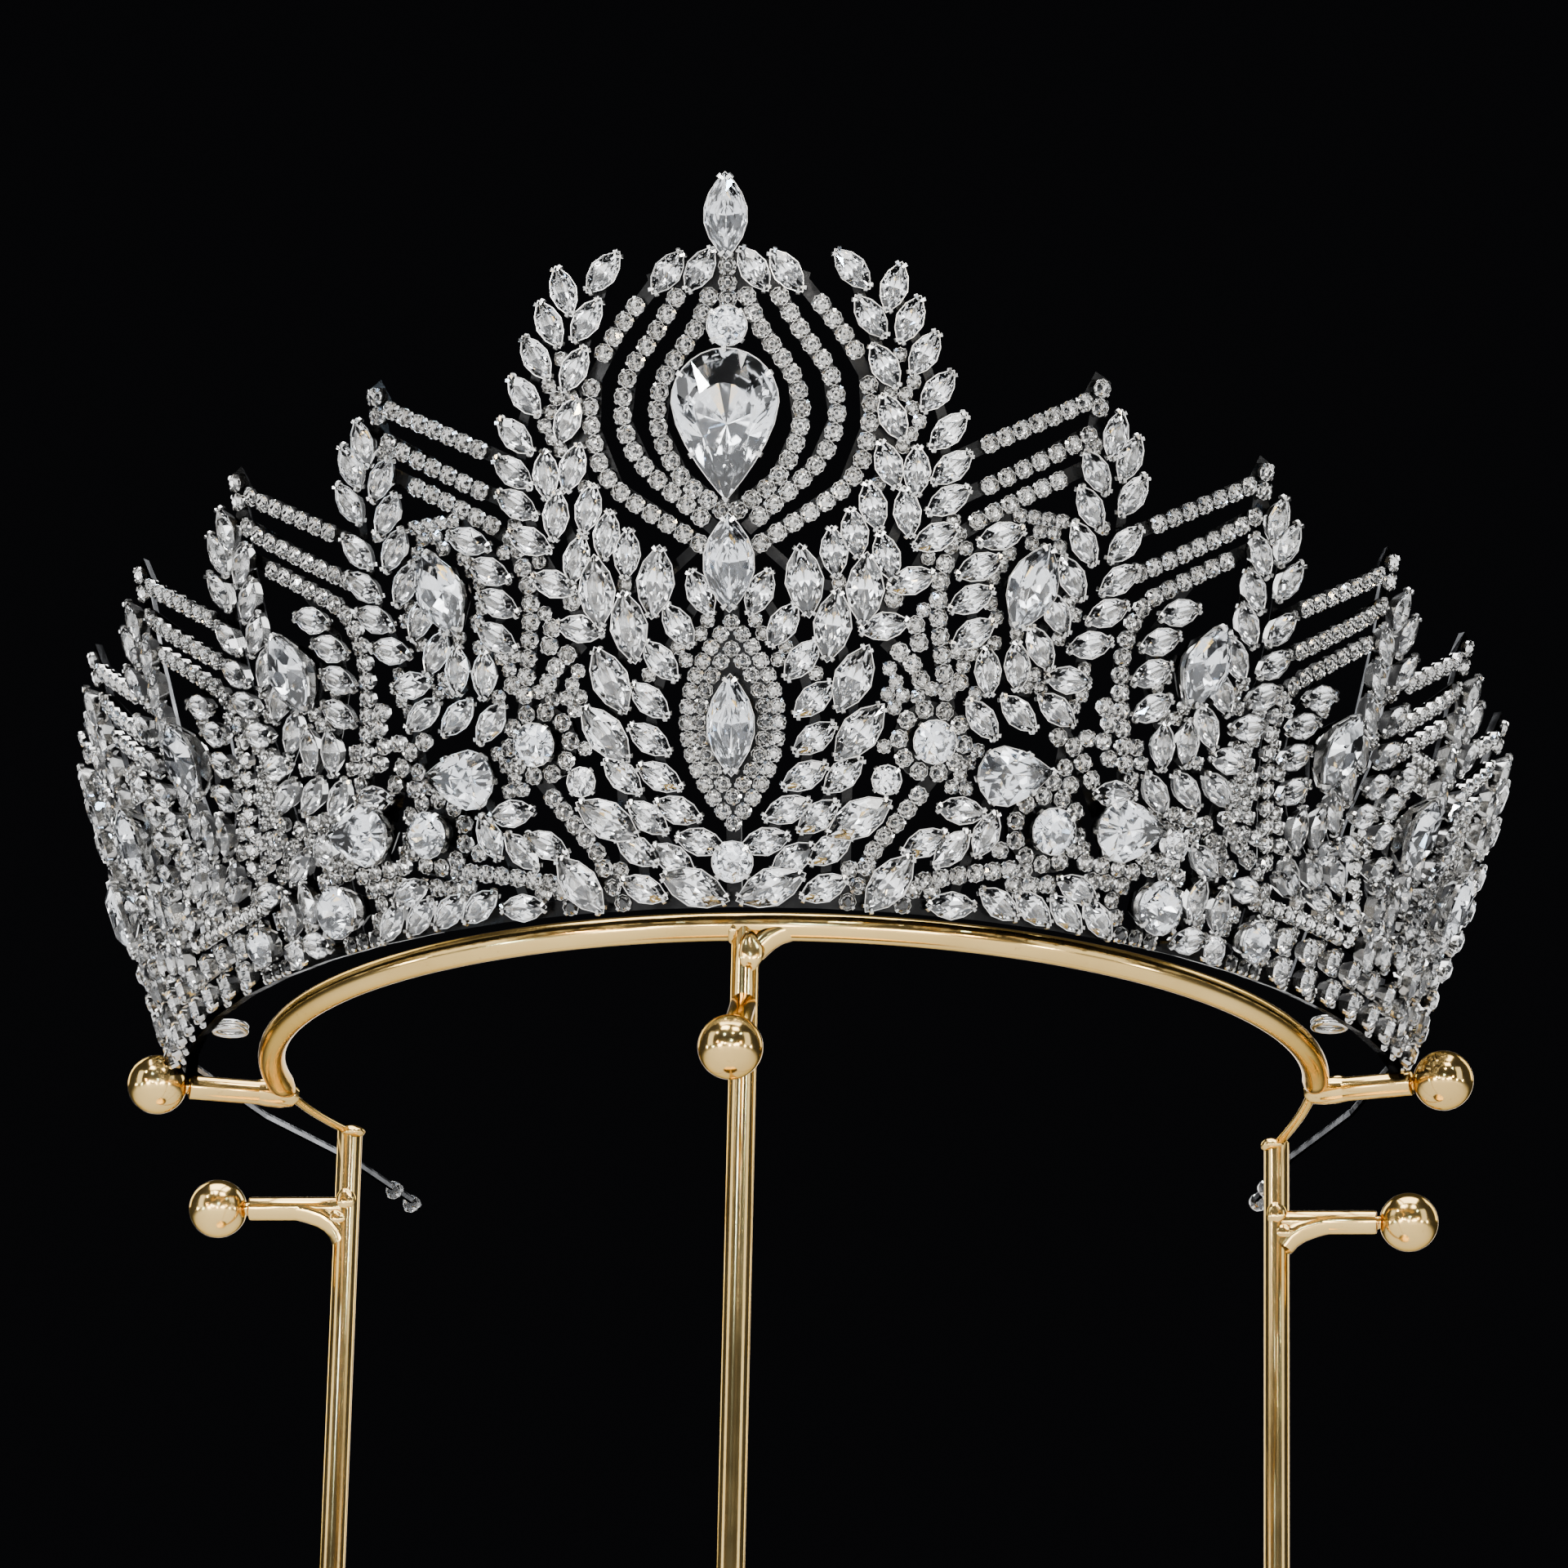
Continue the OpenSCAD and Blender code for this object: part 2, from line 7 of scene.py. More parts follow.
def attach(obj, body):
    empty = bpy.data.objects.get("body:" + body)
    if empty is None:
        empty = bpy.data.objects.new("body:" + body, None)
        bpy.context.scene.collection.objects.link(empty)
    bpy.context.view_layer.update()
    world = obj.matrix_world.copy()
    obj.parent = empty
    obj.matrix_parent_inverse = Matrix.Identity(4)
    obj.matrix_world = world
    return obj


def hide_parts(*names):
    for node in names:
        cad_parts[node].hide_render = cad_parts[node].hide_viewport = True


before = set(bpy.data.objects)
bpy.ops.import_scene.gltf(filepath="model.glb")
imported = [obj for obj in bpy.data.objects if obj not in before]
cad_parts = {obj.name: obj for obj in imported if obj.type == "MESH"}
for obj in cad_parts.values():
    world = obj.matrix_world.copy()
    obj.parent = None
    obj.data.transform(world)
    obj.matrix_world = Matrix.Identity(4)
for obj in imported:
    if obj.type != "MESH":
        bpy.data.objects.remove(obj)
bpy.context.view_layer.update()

# The camera comes first: its angles, roll and lens were fitted to the ring and the tips in the photograph.
# The fit hardly depends on the distance, so VIEW_DIST is a choice.
MM = 0.001
FOOT_Z = 270.0
VIEW_AZ, VIEW_EL, VIEW_ROLL, VIEW_DIST = 5.35, -17.85, 1.25, 900.0
TARGET_RIGHT, TARGET_UP = -0.9, 36.2
FOCAL_PX, IMAGE_PX, SENSOR = 8784.0, 1920.0, 36.0


def make_camera():
    a, e, r = (math.radians(v) for v in (VIEW_AZ, VIEW_EL, VIEW_ROLL))
    back = Vector((math.sin(a) * math.cos(e), -math.cos(a) * math.cos(e), math.sin(e)))
    right = Vector((math.cos(a), math.sin(a), 0))
    up = back.cross(right)
    target = right * TARGET_RIGHT + Vector((0, 0, FOOT_Z + TARGET_UP))
    place = (target + back * VIEW_DIST) * MM
    x = math.cos(r) * right + math.sin(r) * up
    y = math.cos(r) * up - math.sin(r) * right
    data = bpy.data.cameras.new("camera")
    data.sensor_width = SENSOR
    data.lens = FOCAL_PX * SENSOR / IMAGE_PX
    data.clip_start, data.clip_end = 0.01, 50
    camera = bpy.data.objects.new("camera", data)
    bpy.context.scene.collection.objects.link(camera)
    camera.matrix_world = Matrix((x, y, back)).transposed().to_4x4()
    camera.matrix_world.translation = place
    bpy.context.scene.camera = camera


make_camera()

# The wall of the crown is a cone that leans outward. A place on it: degrees from the front, mm up the slope.
FRONT_R, SIDE_GAIN, LEAN, END_ANGLE = 66.3, 7.7, math.radians(20), 95.0
CHAIN_OUT, STONE_OUT = 1.0, 1.25
PAVILION, CROWN_H, TABLE, GIRDLE = 0.42, 0.2, 0.55, 0.3
LEAF, BIG_LEAF = (2.7, 5.3), (3.9, 7.8)
# How much wider than its solid a leaf is drawn, for the rim of its setting and to narrow the dark gaps,
# and how many times that its length gets
LEAF_RIM, RIM_LONG = 0.36, 1.7
RHINESTONE_D, CHAIN_PITCH = 2.05, 2.12


def foot_r(a):
    return FRONT_R + SIDE_GAIN * (abs(a) / 90) ** 3


def wall_normal(a):
    t = math.radians(a)
    return Vector((math.cos(LEAN) * math.sin(t), -math.cos(LEAN) * math.cos(t), -math.sin(LEAN)))


def wall_point(p, out=0.0):
    r = foot_r(p[0]) + p[1] * math.sin(LEAN)
    t = math.radians(p[0])
    place = Vector((r * math.sin(t), -r * math.cos(t), FOOT_Z + p[1] * math.cos(LEAN)))
    return place + out * wall_normal(p[0])


def on_wall(place, out, tilt):
    """X toward larger angles, Y up the slope and Z outward, in millimetres; tilt leans the top that way."""
    a, t = math.radians(place[0]), math.radians(tilt)
    x0 = Vector((math.cos(a), math.sin(a), 0))
    z = wall_normal(place[0])
    y0 = z.cross(x0)
    x = math.cos(t) * x0 - math.sin(t) * y0
    y = math.sin(t) * x0 + math.cos(t) * y0
    m = Matrix((x, y, z)).transposed().to_4x4()
    m.translation = wall_point(place, out)
    return m


def along(row, t):
    last = len(row) - 1
    i = min(int(t * last), last - 1)
    f = t * last - i
    b, c = Vector(row[i]), Vector(row[i + 1])
    a = Vector(row[i - 1]) if i > 0 else 2 * b - c
    d = Vector(row[i + 2]) if i + 2 <= last else 2 * c - b
    return b + f * ((c - a) / 2 + f * (a - 2.5 * b + 2 * c - d / 2 + f * (1.5 * b - a / 2 - 1.5 * c + d / 2)))


def mirrored(row, side):
    return [(side * p[0], p[1]) for p in row]


def from_peak(peak, row):
    return [(peak[0] + p[0] - peak[2] * p[1], peak[1] + p[1]) for p in row]


# Peaks: angle of the tip, height of the tip, outward drift in degrees for each mm down
PEAKS = [
    (28.0, 64.3, 0.00),
    (43.3, 59.0, 0.06),
    (58.8, 54.0, 0.12),
    (72.6, 49.5, 0.16),
    (84.6, 45.0, 0.16),
]
# Chain lines of a peak, as offsets from its tip
PEAK_CHAINS = [
    [(0.2, 0), (-0.6, -3.0), (-5.4, -7.4), (-11.6, -12.6)],
    [(0.3, -1.0), (0.2, -6.4), (-5.8, -12.7), (-11.6, -17.6)],
    [(0.3, -10.6), (-5.8, -16.2), (-9.6, -20.4), (-10.9, -27), (-10.1, -34.5), (-9, -40.5)],
]
# Leaf rows: count, tilt of the first, tilt of the last, places along the row
SPRAY_ROWS = [
    (7, 4, 72, [(1.7, -6.6), (3.7, -10.6), (4.0, -18.8), (3.9, -25.0), (2.5, -31.0)]),
    (6, -40, -36, [(0.6, -11.2), (0.3, -21.6), (-1.9, -32.2)]),
]
PEAK_STONE, PEAK_STONE_SIZE = (-3.6, -25.4, 15), (6.0, 10.6)
# Leaves of a peak that are added here, as offsets from its tip
PEAK_EXTRA = [
    (4, 68, 55, [(-6.4, -20.0), (-7.9, -23.8), (-8.3, -27.6), (-7.8, -31.5)]),
    (2, -10, -10, [(-6.2, -35.6), (-3.7, -34.6)]),
    (1, -55, -55, [(-3.0, -40.0), (-3.0, -40.0)]),
    (1, -45, -45, [(-6.2, -41.2), (-6.2, -41.2)]),
    (1, 88, 88, [(1.0, -35.4), (1.0, -35.4)]),
    (1, -62, -62, [(0.4, -39.0), (0.4, -39.0)]),
]
BRANCH_ROWS = [
    (10, 14, 76, [(11.8, 71.6), (14.6, 63.3), (16.9, 53.5), (16.6, 44.6), (12.7, 32.8)]),
    (8, -44, -8, [(8.8, 73.4), (11.2, 64), (12.4, 54), (10.9, 45.5), (8.3, 41)]),
    (3, -3, -20, [(14.4, 50.8), (13.9, 46), (12.5, 40.8)]),
    (2, -33, -38, [(1.9, 73.2), (4.2, 73.0)]),
]
LAUREL_ROWS = [
    (8, 24, 76, [(2.4, 36.2), (5.6, 29.6), (7.3, 21.8), (6.2, 14.2), (3.0, 7.6)]),
    (3, 45, 56, [(9.9, 15.5), (7.8, 10.6), (5.6, 5.7)]),
    (2, 55, 66, [(9.0, 6.9), (8.6, 2.4)]),
]
LAUREL_BIG_ROWS = [
    (4, -9, 38, [(6.0, 37.6), (8.4, 32.6), (10.3, 26.6), (11.1, 20.5)]),
    (2, 58, 68, [(11.5, 10.6), (3.6, 2.4)]),
    (2, 0, 36, [(10.9, 36.9), (14.7, 3.4)]),
]
EDGE_ROWS = [
    (1, 86, 86, [(21.0, 1.4), (21.0, 1.4)]),
    (4, -62, -50, [(25.7, 2.2), (36.2, 2.2)]),
    (1, 72, 72, [(47, 2.0), (47, 2.0)]),
]
EDGE_ROUNDS = (8, 60, 91, 1.9, 3.2)
# Leaves of the lower field that are added here
FIELD_EXTRA = [
    (3, 62, 18, [(17.8, 8.3), (20.4, 7.9), (23.5, 10.0)]),
    (1, 92, 92, [(20.9, 12.4), (20.9, 12.4)]),
    (1, -75, -75, [(33.4, 5.2), (33.4, 5.2)]),
    (2, 6, -6, [(46.8, 6.9), (49.9, 6.4)]),
    (1, 84, 84, [(52.2, 9.6), (52.2, 9.6)]),
    (1, 82, 82, [(35.4, 16.8), (35.4, 16.8)]),
    (1, -60, -60, [(46.6, 11.4), (46.6, 11.4)]),
    (7, 96, 72, [(57.4, 11.9), (73, 11.6), (88.4, 11.3)]),
    (4, 70, 78, [(61.5, 17.0), (76, 16.0), (86, 15.0)]),
]
# Main stones of the centre: name, shape, width, length, height, tilt
CENTRE = [
    ("finial_stone", "marquise", 4.9, 9.8, 79.3, 0),
    ("top_round_stone", "round", 4.5, 4.5, 66.7, 0),
    ("centre_pear_stone", "pear", 12.2, 17.2, 55.4, 180),
    ("upper_marquise_stone", "marquise", 5.8, 11.2, 39.6, 0),
    ("halo_marquise_stone", "marquise", 5.4, 11.6, 21.0, 0),
    ("low_round_stone", "round", 4.6, 4.6, 5.3, 0),
]
# Main stones of the lower field: name, shape, width, length, angle, height, tilt, halo radius
LOWER = [
    ("inner_round", "round", 4.9, 4.9, 17.7, 20, 0, 3.75),
    ("inner_pear", "pear", 6.8, 9.2, 25.1, 17.2, 78, 0),
    ("outer_round", "round", 5.3, 5.3, 29.7, 11.4, 0, 4.0),
    ("outer_pear", "pear", 7.2, 9.4, 37.1, 13.0, 80, 0),
    ("edge_round", "round", 6.2, 6.2, 42.0, 4.9, 0, 0),
    ("far_round", "round", 4.8, 4.8, 54.8, 4.0, 0, 0),
]
# Small round stones of the lower field that are added here: angle, height, diameter
ROUNDS_EXTRA = [(13.8, 15.2, 3.3), (42.8, 12.4, 3.4), (50.3, 1.7, 3.4)]
ROUNDS_EXTRA += [(59.4 + 4.05 * i, 5.3, 3.1) for i in range(9)]
CENTRE_CHAINS = [
    [(0.5, 74), (2.2, 67), (4.9, 60.7), (5.4, 55.3), (3.8, 49.6), (0.6, 45.6)],
    [(2.3, 73.8), (5.2, 66.5), (7.5, 61.5), (8.1, 56.2), (6.6, 50.8), (1.2, 43.4)],
    [(4.9, 72.6), (8.2, 66.5), (10.2, 61.5), (10.6, 55.5), (9.0, 48.6), (1.2, 40.6)],
]
LOWER_CHAINS = [
    [(18.8, 17), (15.5, 11.0), (12.8, 6), (12.4, 1)],
    [(18.2, 3.9), (24, 5.6), (31.5, 7.6)],
    [(13.0, 31.2), (15.8, 28), (17.2, 23)],
    [(28.6, 24.8), (31.0, 21.2), (33.0, 18.3), (34.8, 14)],
    [(36, 10), (46, 8.8), (60, 8.6), (75, 8.6), (92, 7.4)],
]
# Chains that are added here between the solid ones
CHAINS_EXTRA = [
    [(15.4, 33.2), (16.5, 28), (17.6, 25.4)],
    [(18.0, 31), (19.4, 27.6), (20.4, 25.2)],
    [(26.4, 27.0), (29.2, 22.4), (31.2, 19.0)],
    [(33.2, 26.6), (34.8, 22.6), (35.4, 19.0)],
    [(45.0, 17.4), (47.6, 13.8), (50.4, 11.4)],
    [(47.4, 18.6), (49.8, 15.4), (52.4, 13.2)],
    [(19.2, 1.9), (24.4, 3.4), (30.6, 5.2)],
    [(1.0, 47.6), (3.8, 45.4)],
    [(1.9, 45.2), (5.2, 42.9)],
    [(3.0, 42.6), (5.6, 41.2)],
    [(22.4, 13), (24.2, 12.6)],
    [(13.4, 36), (13.8, 33), (14.6, 30)],
]
HALO_ROWS = [(3.7, 8.5), (5.2, 11.6)]
HALO_AT = 21.2
# Chain down from each tip, and under the finial
TIP_CHAIN = [(0.25, -1.5), (0.35, -6.0), (0.25, -10.4)]
FINIAL_CHAIN = [(0, 73.6), (0, 69.8)]
# Places that are filled with the smallest stones: first and last angle, lowest and highest place
FILLS = [(36.0, 62.0, 0.9, 16.4), (62.0, 94.2, 0.9, 19.0), (23.6, 36.0, 4.6, 8.6), (29.6, 37.4, 17.0, 24.5),
         (11.0, 13.6, 0.9, 6.0), (16.4, 20.0, 0.9, 4.4)]
# Windows where the render was darker than the photo, filled with finer stones. They weren't picked from
# stones seen there, and the photo doesn't support some of them.
FINE_FILLS = [
    (2.0, 9.0, 27.0, 39.4), (3.0, 7.0, 5.0, 18.0), (10.4, 14.5, 46.0, 64.0),
    (13.5, 17.2, 19.0, 28.0), (20.0, 24.4, 9.0, 26.0), (16.0, 31.0, 26.0, 47.0),
    (31.0, 35.4, 7.0, 15.0), (38.0, 57.0, 9.0, 34.0), (57.0, 93.0, 18.0, 33.0),
]
# Pitch and diameter of these stones, and the share of a neighbour's clearance that they keep
FINE_STONES = (1.72, 1.55, 0.78)
# The same for the rows of the halo marquise
HALO_STONES = (1.84, 1.72, 0.66)


# Meshes are gathered as points and faces, in millimetres, and made into objects at the end.
class Gather:
    def __init__(self):
        self.points, self.faces, self.slots = [], [], []

    def add(self, points, faces, matrix, slots=None):
        n = len(self.points)
        self.points.extend((matrix @ Vector(p)) * MM for p in points)
        self.faces.extend([n + i for i in f] for f in faces)
        self.slots.extend(slots or [0] * len(faces))

    def make(self, name, materials, smooth_angle=None):
        mesh = bpy.data.meshes.new(name)
        mesh.from_pydata(self.points, [], self.faces)
        for m in materials:
            mesh.materials.append(m)
        mesh.polygons.foreach_set("material_index", self.slots)
        if smooth_angle:
            mesh.polygons.foreach_set("use_smooth", [True] * len(mesh.polygons))
            mesh.set_sharp_from_angle(angle=math.radians(smooth_angle))
        mesh.update()
        obj = bpy.data.objects.new(name, mesh)
        bpy.context.scene.collection.objects.link(obj)
        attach(obj, "root")
        return obj


def outline(shape, w, l, n):
    pts = []
    for i in range(2 * n):
        side = 1 if i < n else -1
        t = i / n if i < n else (2 * n - i) / n
        y = -math.cos(math.pi * t)
        if shape == "marquise":
            pts.append((side * w / 2 * (1 - y * y), l / 2 * y))
        elif shape == "pear":
            x = math.sqrt(max(0, 1 - y * y)) if y < 0 else 1 - y ** 1.6
            v = (w / 2) * y if y < 0 else (l - w / 2) * y
            pts.append((side * w / 2 * x, v - (l - w) / 2))
        else:
            pts.append((w / 2 * math.sin(math.pi * i / n), -w / 2 * math.cos(math.pi * i / n)))
    return pts


def brilliant(shape, w, l, n, girdle):
    """A cut stone on its culet: table, crown, girdle and pavilion, which has one more row if it is large."""
    base = outline(shape, w, l, n)
    count, half = 2 * n, n
    zg, zt = w * PAVILION, w * (PAVILION + CROWN_H) + girdle
    pts = [(0, 0, 0)]
    pts += [(x, y, zg) for x, y in base]
    pts += [(x, y, zg + girdle) for x, y in base]
    pts += [(base[2 * k][0] * TABLE, base[2 * k][1] * TABLE, zt) for k in range(half)]
    pts += [(base[2 * k + 1][0] * 0.55, base[2 * k + 1][1] * 0.55, zg * 0.5) for k in range(half)]
    low, high, top, mid, row = 1, 1 + count, 1 + 2 * count, 1 + 2 * count + half, 1 + 2 * count + 2 * half
    large = n > 8
    if large:
        pts += [(base[2 * k][0] * 0.8, base[2 * k][1] * 0.8, zg * 0.73) for k in range(half)]
    faces = [[top + k for k in range(half)]]
    for i in range(count):
        j = (i + 1) % count
        faces.append([low + i, low + j, high + j, high + i])
    crown, pavilion = [], []
    for k in range(half):
        a, b, c, nxt = 2 * k, 2 * k + 1, (2 * k + 2) % count, (k + 1) % half
        crown += [[high + a, high + b, top + k], [top + k, high + b, top + nxt]]
        crown.append([high + b, high + c, top + nxt])
        if large:
            pavilion += [[low + b, low + a, row + k], [low + b, row + k, row + nxt]]
            pavilion += [[low + c, low + b, row + nxt], [row + nxt, row + k, mid + k]]
            pavilion += [[row + nxt, mid + k, mid + nxt], [mid + nxt, mid + k, 0]]
            continue
        pavilion += [[low + b, low + a, mid + k], [low + c, low + b, mid + k]]
        pavilion += [[low + c, mid + k, mid + nxt], [mid + nxt, mid + k, 0]]
    faces += crown + pavilion
    return pts, faces, [0] * (len(faces) - len(pavilion)) + [1] * len(pavilion)


def cup(shape, w, l, n, wall, foot, depth):
    """A hollow setting under a stone, closed below."""
    outer, inner = outline(shape, w + 2 * wall, l + 2 * wall, n), outline(shape, w + 0.1, l + 0.1, n)
    count, rim = 2 * n, w * PAVILION + 0.04
    pts = [(x * foot, y * foot, -depth) for x, y in outer]
    pts += [(x, y, rim) for x, y in outer] + [(x, y, rim) for x, y in inner] + [(0, 0, -0.22)]
    faces = [[count - 1 - i for i in range(count)]]
    for i in range(count):
        j = (i + 1) % count
        faces += [[i, j, count + j, count + i], [count + i, count + j, 2 * count + j, 2 * count + i]]
        faces.append([2 * count + i, 2 * count + j, 3 * count])
    return pts, faces


def stub(d, at):
    """A short prong of a small cup, bent over the stone's edge."""
    t = 2 * math.pi * at
    out, run = Vector((math.sin(t), math.cos(t))), Vector((math.cos(t), -math.sin(t)))
    z, r = d * PAVILION, d / 2
    pts = []
    for o, h, s in ((0.1, z - 0.3, 0.22), (0.14, z + 0.12, 0.2), (-0.22, z + 0.34, 0.12)):
        for a, b in ((-1, 0), (1, 0), (1, 1), (-1, 1)):
            v = out * (r + o - (0.0 if b else 0.16)) + run * (a * s)
            pts.append((v.x, v.y, h + (0.06 if b else -0.06)))
    faces = [[3, 2, 1, 0], [8, 9, 10, 11]]
    for k in range(2):
        for i in range(4):
            j = (i + 1) % 4
            faces.append([4 * k + i, 4 * k + j, 4 * k + 4 + j, 4 * k + 4 + i])
    return pts, faces


def claw(shape, w, l, n, at, wide, reach, girdle, leg=False):
    """A prong bent over the stone's edge; at counts round it from 0 to 1, leg takes it to the seat."""
    base = outline(shape, w, l, n)
    count = 2 * n
    f = (at % 1) * count
    i = int(f) % count
    p, q = Vector(base[i]), Vector(base[(i + 1) % count])
    spot = p.lerp(q, f - int(f))
    run = (q - p).normalized()
    out = Vector((run.y, -run.x))
    zg = w * PAVILION
    levels = [(0.02, zg - 0.55, 1.0), (0.2, zg + girdle * 0.5, 1.0), (0.05, zg + girdle + 0.22, 0.9),
              (-reach, zg + girdle + 0.3, 0.5)]
    if leg:
        levels = [(None, -0.3, 1.1), (-0.1, zg - 0.9, 1.0)] + levels[1:]
    pts = []
    for k, (o, z, s) in enumerate(levels):
        last = k == len(levels) - 1
        thick = 0.0 if last else 0.24
        lift = 0.12 if k > len(levels) - 3 else 0.0
        for a, b in ((-1, 0), (1, 0), (1, 1), (-1, 1)):
            v = spot * 0.6 + out * (thick * b) if o is None else spot + out * (o + thick * b)
            v = v + run * (a * wide / 2 * s)
            pts.append((v.x, v.y, z + (lift if b else 0)))
    end = 4 * len(levels)
    faces = [[0, 1, 2, 3], [end - 1, end - 2, end - 3, end - 4]]
    for k in range(len(levels) - 1):
        for i in range(4):
            j = (i + 1) % 4
            faces.append([4 * k + j, 4 * k + i, 4 * k + 4 + i, 4 * k + 4 + j])
    return pts, faces


def basket(shape, w, l, n):
    """Open setting of a large stone: a plate on the frame and a band round the girdle."""
    count, rim = 2 * n, w * PAVILION + 0.04
    foot = outline(shape, 0.66 * w, 0.66 * l, n)
    pts = [(x, y, -0.3) for x, y in foot] + [(x, y, 0.05) for x, y in foot]
    outer, inner = outline(shape, w + 0.3, l + 0.3, n), outline(shape, w + 0.06, l + 0.06, n)
    low = outline(shape, w - 0.3, l - 0.3, n)
    pts += [(x, y, rim - 0.6) for x, y in low]
    pts += [(x, y, rim) for x, y in outer] + [(x, y, rim) for x, y in inner]
    faces = [[count - 1 - i for i in range(count)], [count + i for i in range(count)]]
    for i in range(count):
        j = (i + 1) % count
        faces.append([i, j, count + j, count + i])
        for a, b in ((2, 3), (3, 4), (4, 2)):
            faces.append([a * count + i, a * count + j, b * count + j, b * count + i])
    return pts, faces


# What is already set on the wall, in cells, so that the smallest stones keep clear of it
CELL = 6
taken = {}


def cell(p):
    return tuple(int(v // CELL) for v in p)


def take(m, shape, w, l):
    taken.setdefault(cell(m.translation), []).append(
        (m.translation.copy(), m.col[0].to_3d(), m.col[1].to_3d(), shape, w / 2, l / 2))


def is_free(p, r, share=0.8):
    home = cell(p)
    for i in (-1, 0, 1):
        for j in (-1, 0, 1):
            for k in (-1, 0, 1):
                for q, x, y, shape, hw, hl in taken.get((home[0] + i, home[1] + j, home[2] + k), ()):
                    d = p - q
                    u, v = d.dot(x), d.dot(y)
                    if abs(v) > hl + r * 0.7 or d.length > hl + r + 1:
                        continue
                    f = min(1, (v / hl) ** 2)
                    wide = hw * (1 - f) if shape == "marquise" else hw * math.sqrt(1 - f)
                    if abs(u) < wide + r * share:
                        return False
    return True


CLAWS = {"marquise": (0.07, 0.43, 0.57, 0.93), "round": (0.125, 0.375, 0.625, 0.875),
         "pear": (0.0, 0.16, 0.34, 0.5, 0.66, 0.84)}
metal, gems, chain_gems = {}, {}, {}
for part in ("centre", "left", "right"):
    metal[part], chain_gems[part] = Gather(), Gather()


def set_stone(into, part, shape, w, l, n, girdle, place, tilt, out=STONE_OUT, big=False):
    m = on_wall(place, out, tilt)
    points, faces, slots = brilliant(shape, w, l, n, girdle)
    into.add(points, faces, m, slots if big else None)
    metal[part].add(*(basket(shape, w, l, n) if big else cup(shape, w, l, n, 0.16, 0.6, 0.3)), m)
    wide, reach = (0.6, 0.42) if big else (0.45, 0.26)
    for at in CLAWS[shape]:
        metal[part].add(*claw(shape, w, l, n, at, wide, reach, girdle, big), m)
    take(m, shape, w, l)


def leaf_row(into, part, row, side, size):
    count, first, last, places = row
    for i in range(count):
        t = i / (count - 1) if count > 1 else 0
        p = along(places, t)
        set_stone(into, part, "marquise", size[0] + LEAF_RIM, size[1] + RIM_LONG * LEAF_RIM, 6, 0.0,
                  (side * p.x, p.y), side * (first + t * (last - first)))


def rhinestone(part, place, tilt, d=RHINESTONE_D, out=CHAIN_OUT - 0.2, share=0.8):
    m = on_wall(place, out, tilt)
    seen = on_wall(place, STONE_OUT, tilt)
    if not is_free(seen.translation, d / 2, share):
        return
    points, faces, slots = brilliant("round", d, d, 4, 0.0)
    chain_gems[part].add(points, faces, m, slots)
    metal[part].add(*cup("round", d, d, 4, 0.08, 0.72, 0.2), m)
    for at in CLAWS["round"]:
        metal[part].add(*stub(d, at), m)
    take(seen, "round", d, d)


def chain(part, row, side, pitch=CHAIN_PITCH, d=RHINESTONE_D, share=0.8):
    """Rhinestones at an even pitch along a row of places, each turned along the row."""
    row = mirrored(row, side)
    fine = [along(row, i / 60) for i in range(61)]
    spots = [wall_point(p) for p in fine]
    run = [0.0]
    for a, b in zip(spots, spots[1:]):
        run.append(run[-1] + (b - a).length)
    count = max(1, round(run[-1] / pitch))
    k = 0
    for i in range(count + 1):
        want = run[-1] * i / count
        while k < 59 and run[k + 1] < want:
            k += 1
        f = (want - run[k]) / max(1e-9, run[k + 1] - run[k])
        place = fine[k].lerp(fine[k + 1], f)
        m = on_wall(place, 0, 0)
        d3 = spots[k + 1] - spots[k]
        tilt = math.degrees(math.atan2(d3.dot(m.col[0].to_3d()), d3.dot(m.col[1].to_3d())))
        rhinestone(part, place, tilt, d, share=share)


def fill(part, side, first, last, low, high, pitch=2.16, d=1.9, share=0.72):
    """The smallest stones in a staggered grid wherever the wall is still bare."""
    step = pitch * 0.87
    rows = int((high - low) / step) + 1
    for j in range(rows):
        height = low + j * step
        degree = math.degrees(pitch / (foot_r(last) + height * math.sin(LEAN)))
        for i in range(int((last - first) / degree) + 1):
            rhinestone(part, (side * (first + (i + 0.5 * (j % 2)) * degree), height), 0, d, 0.7, share)


def new_gems(name):
    gems[name] = Gather()
    return gems[name]


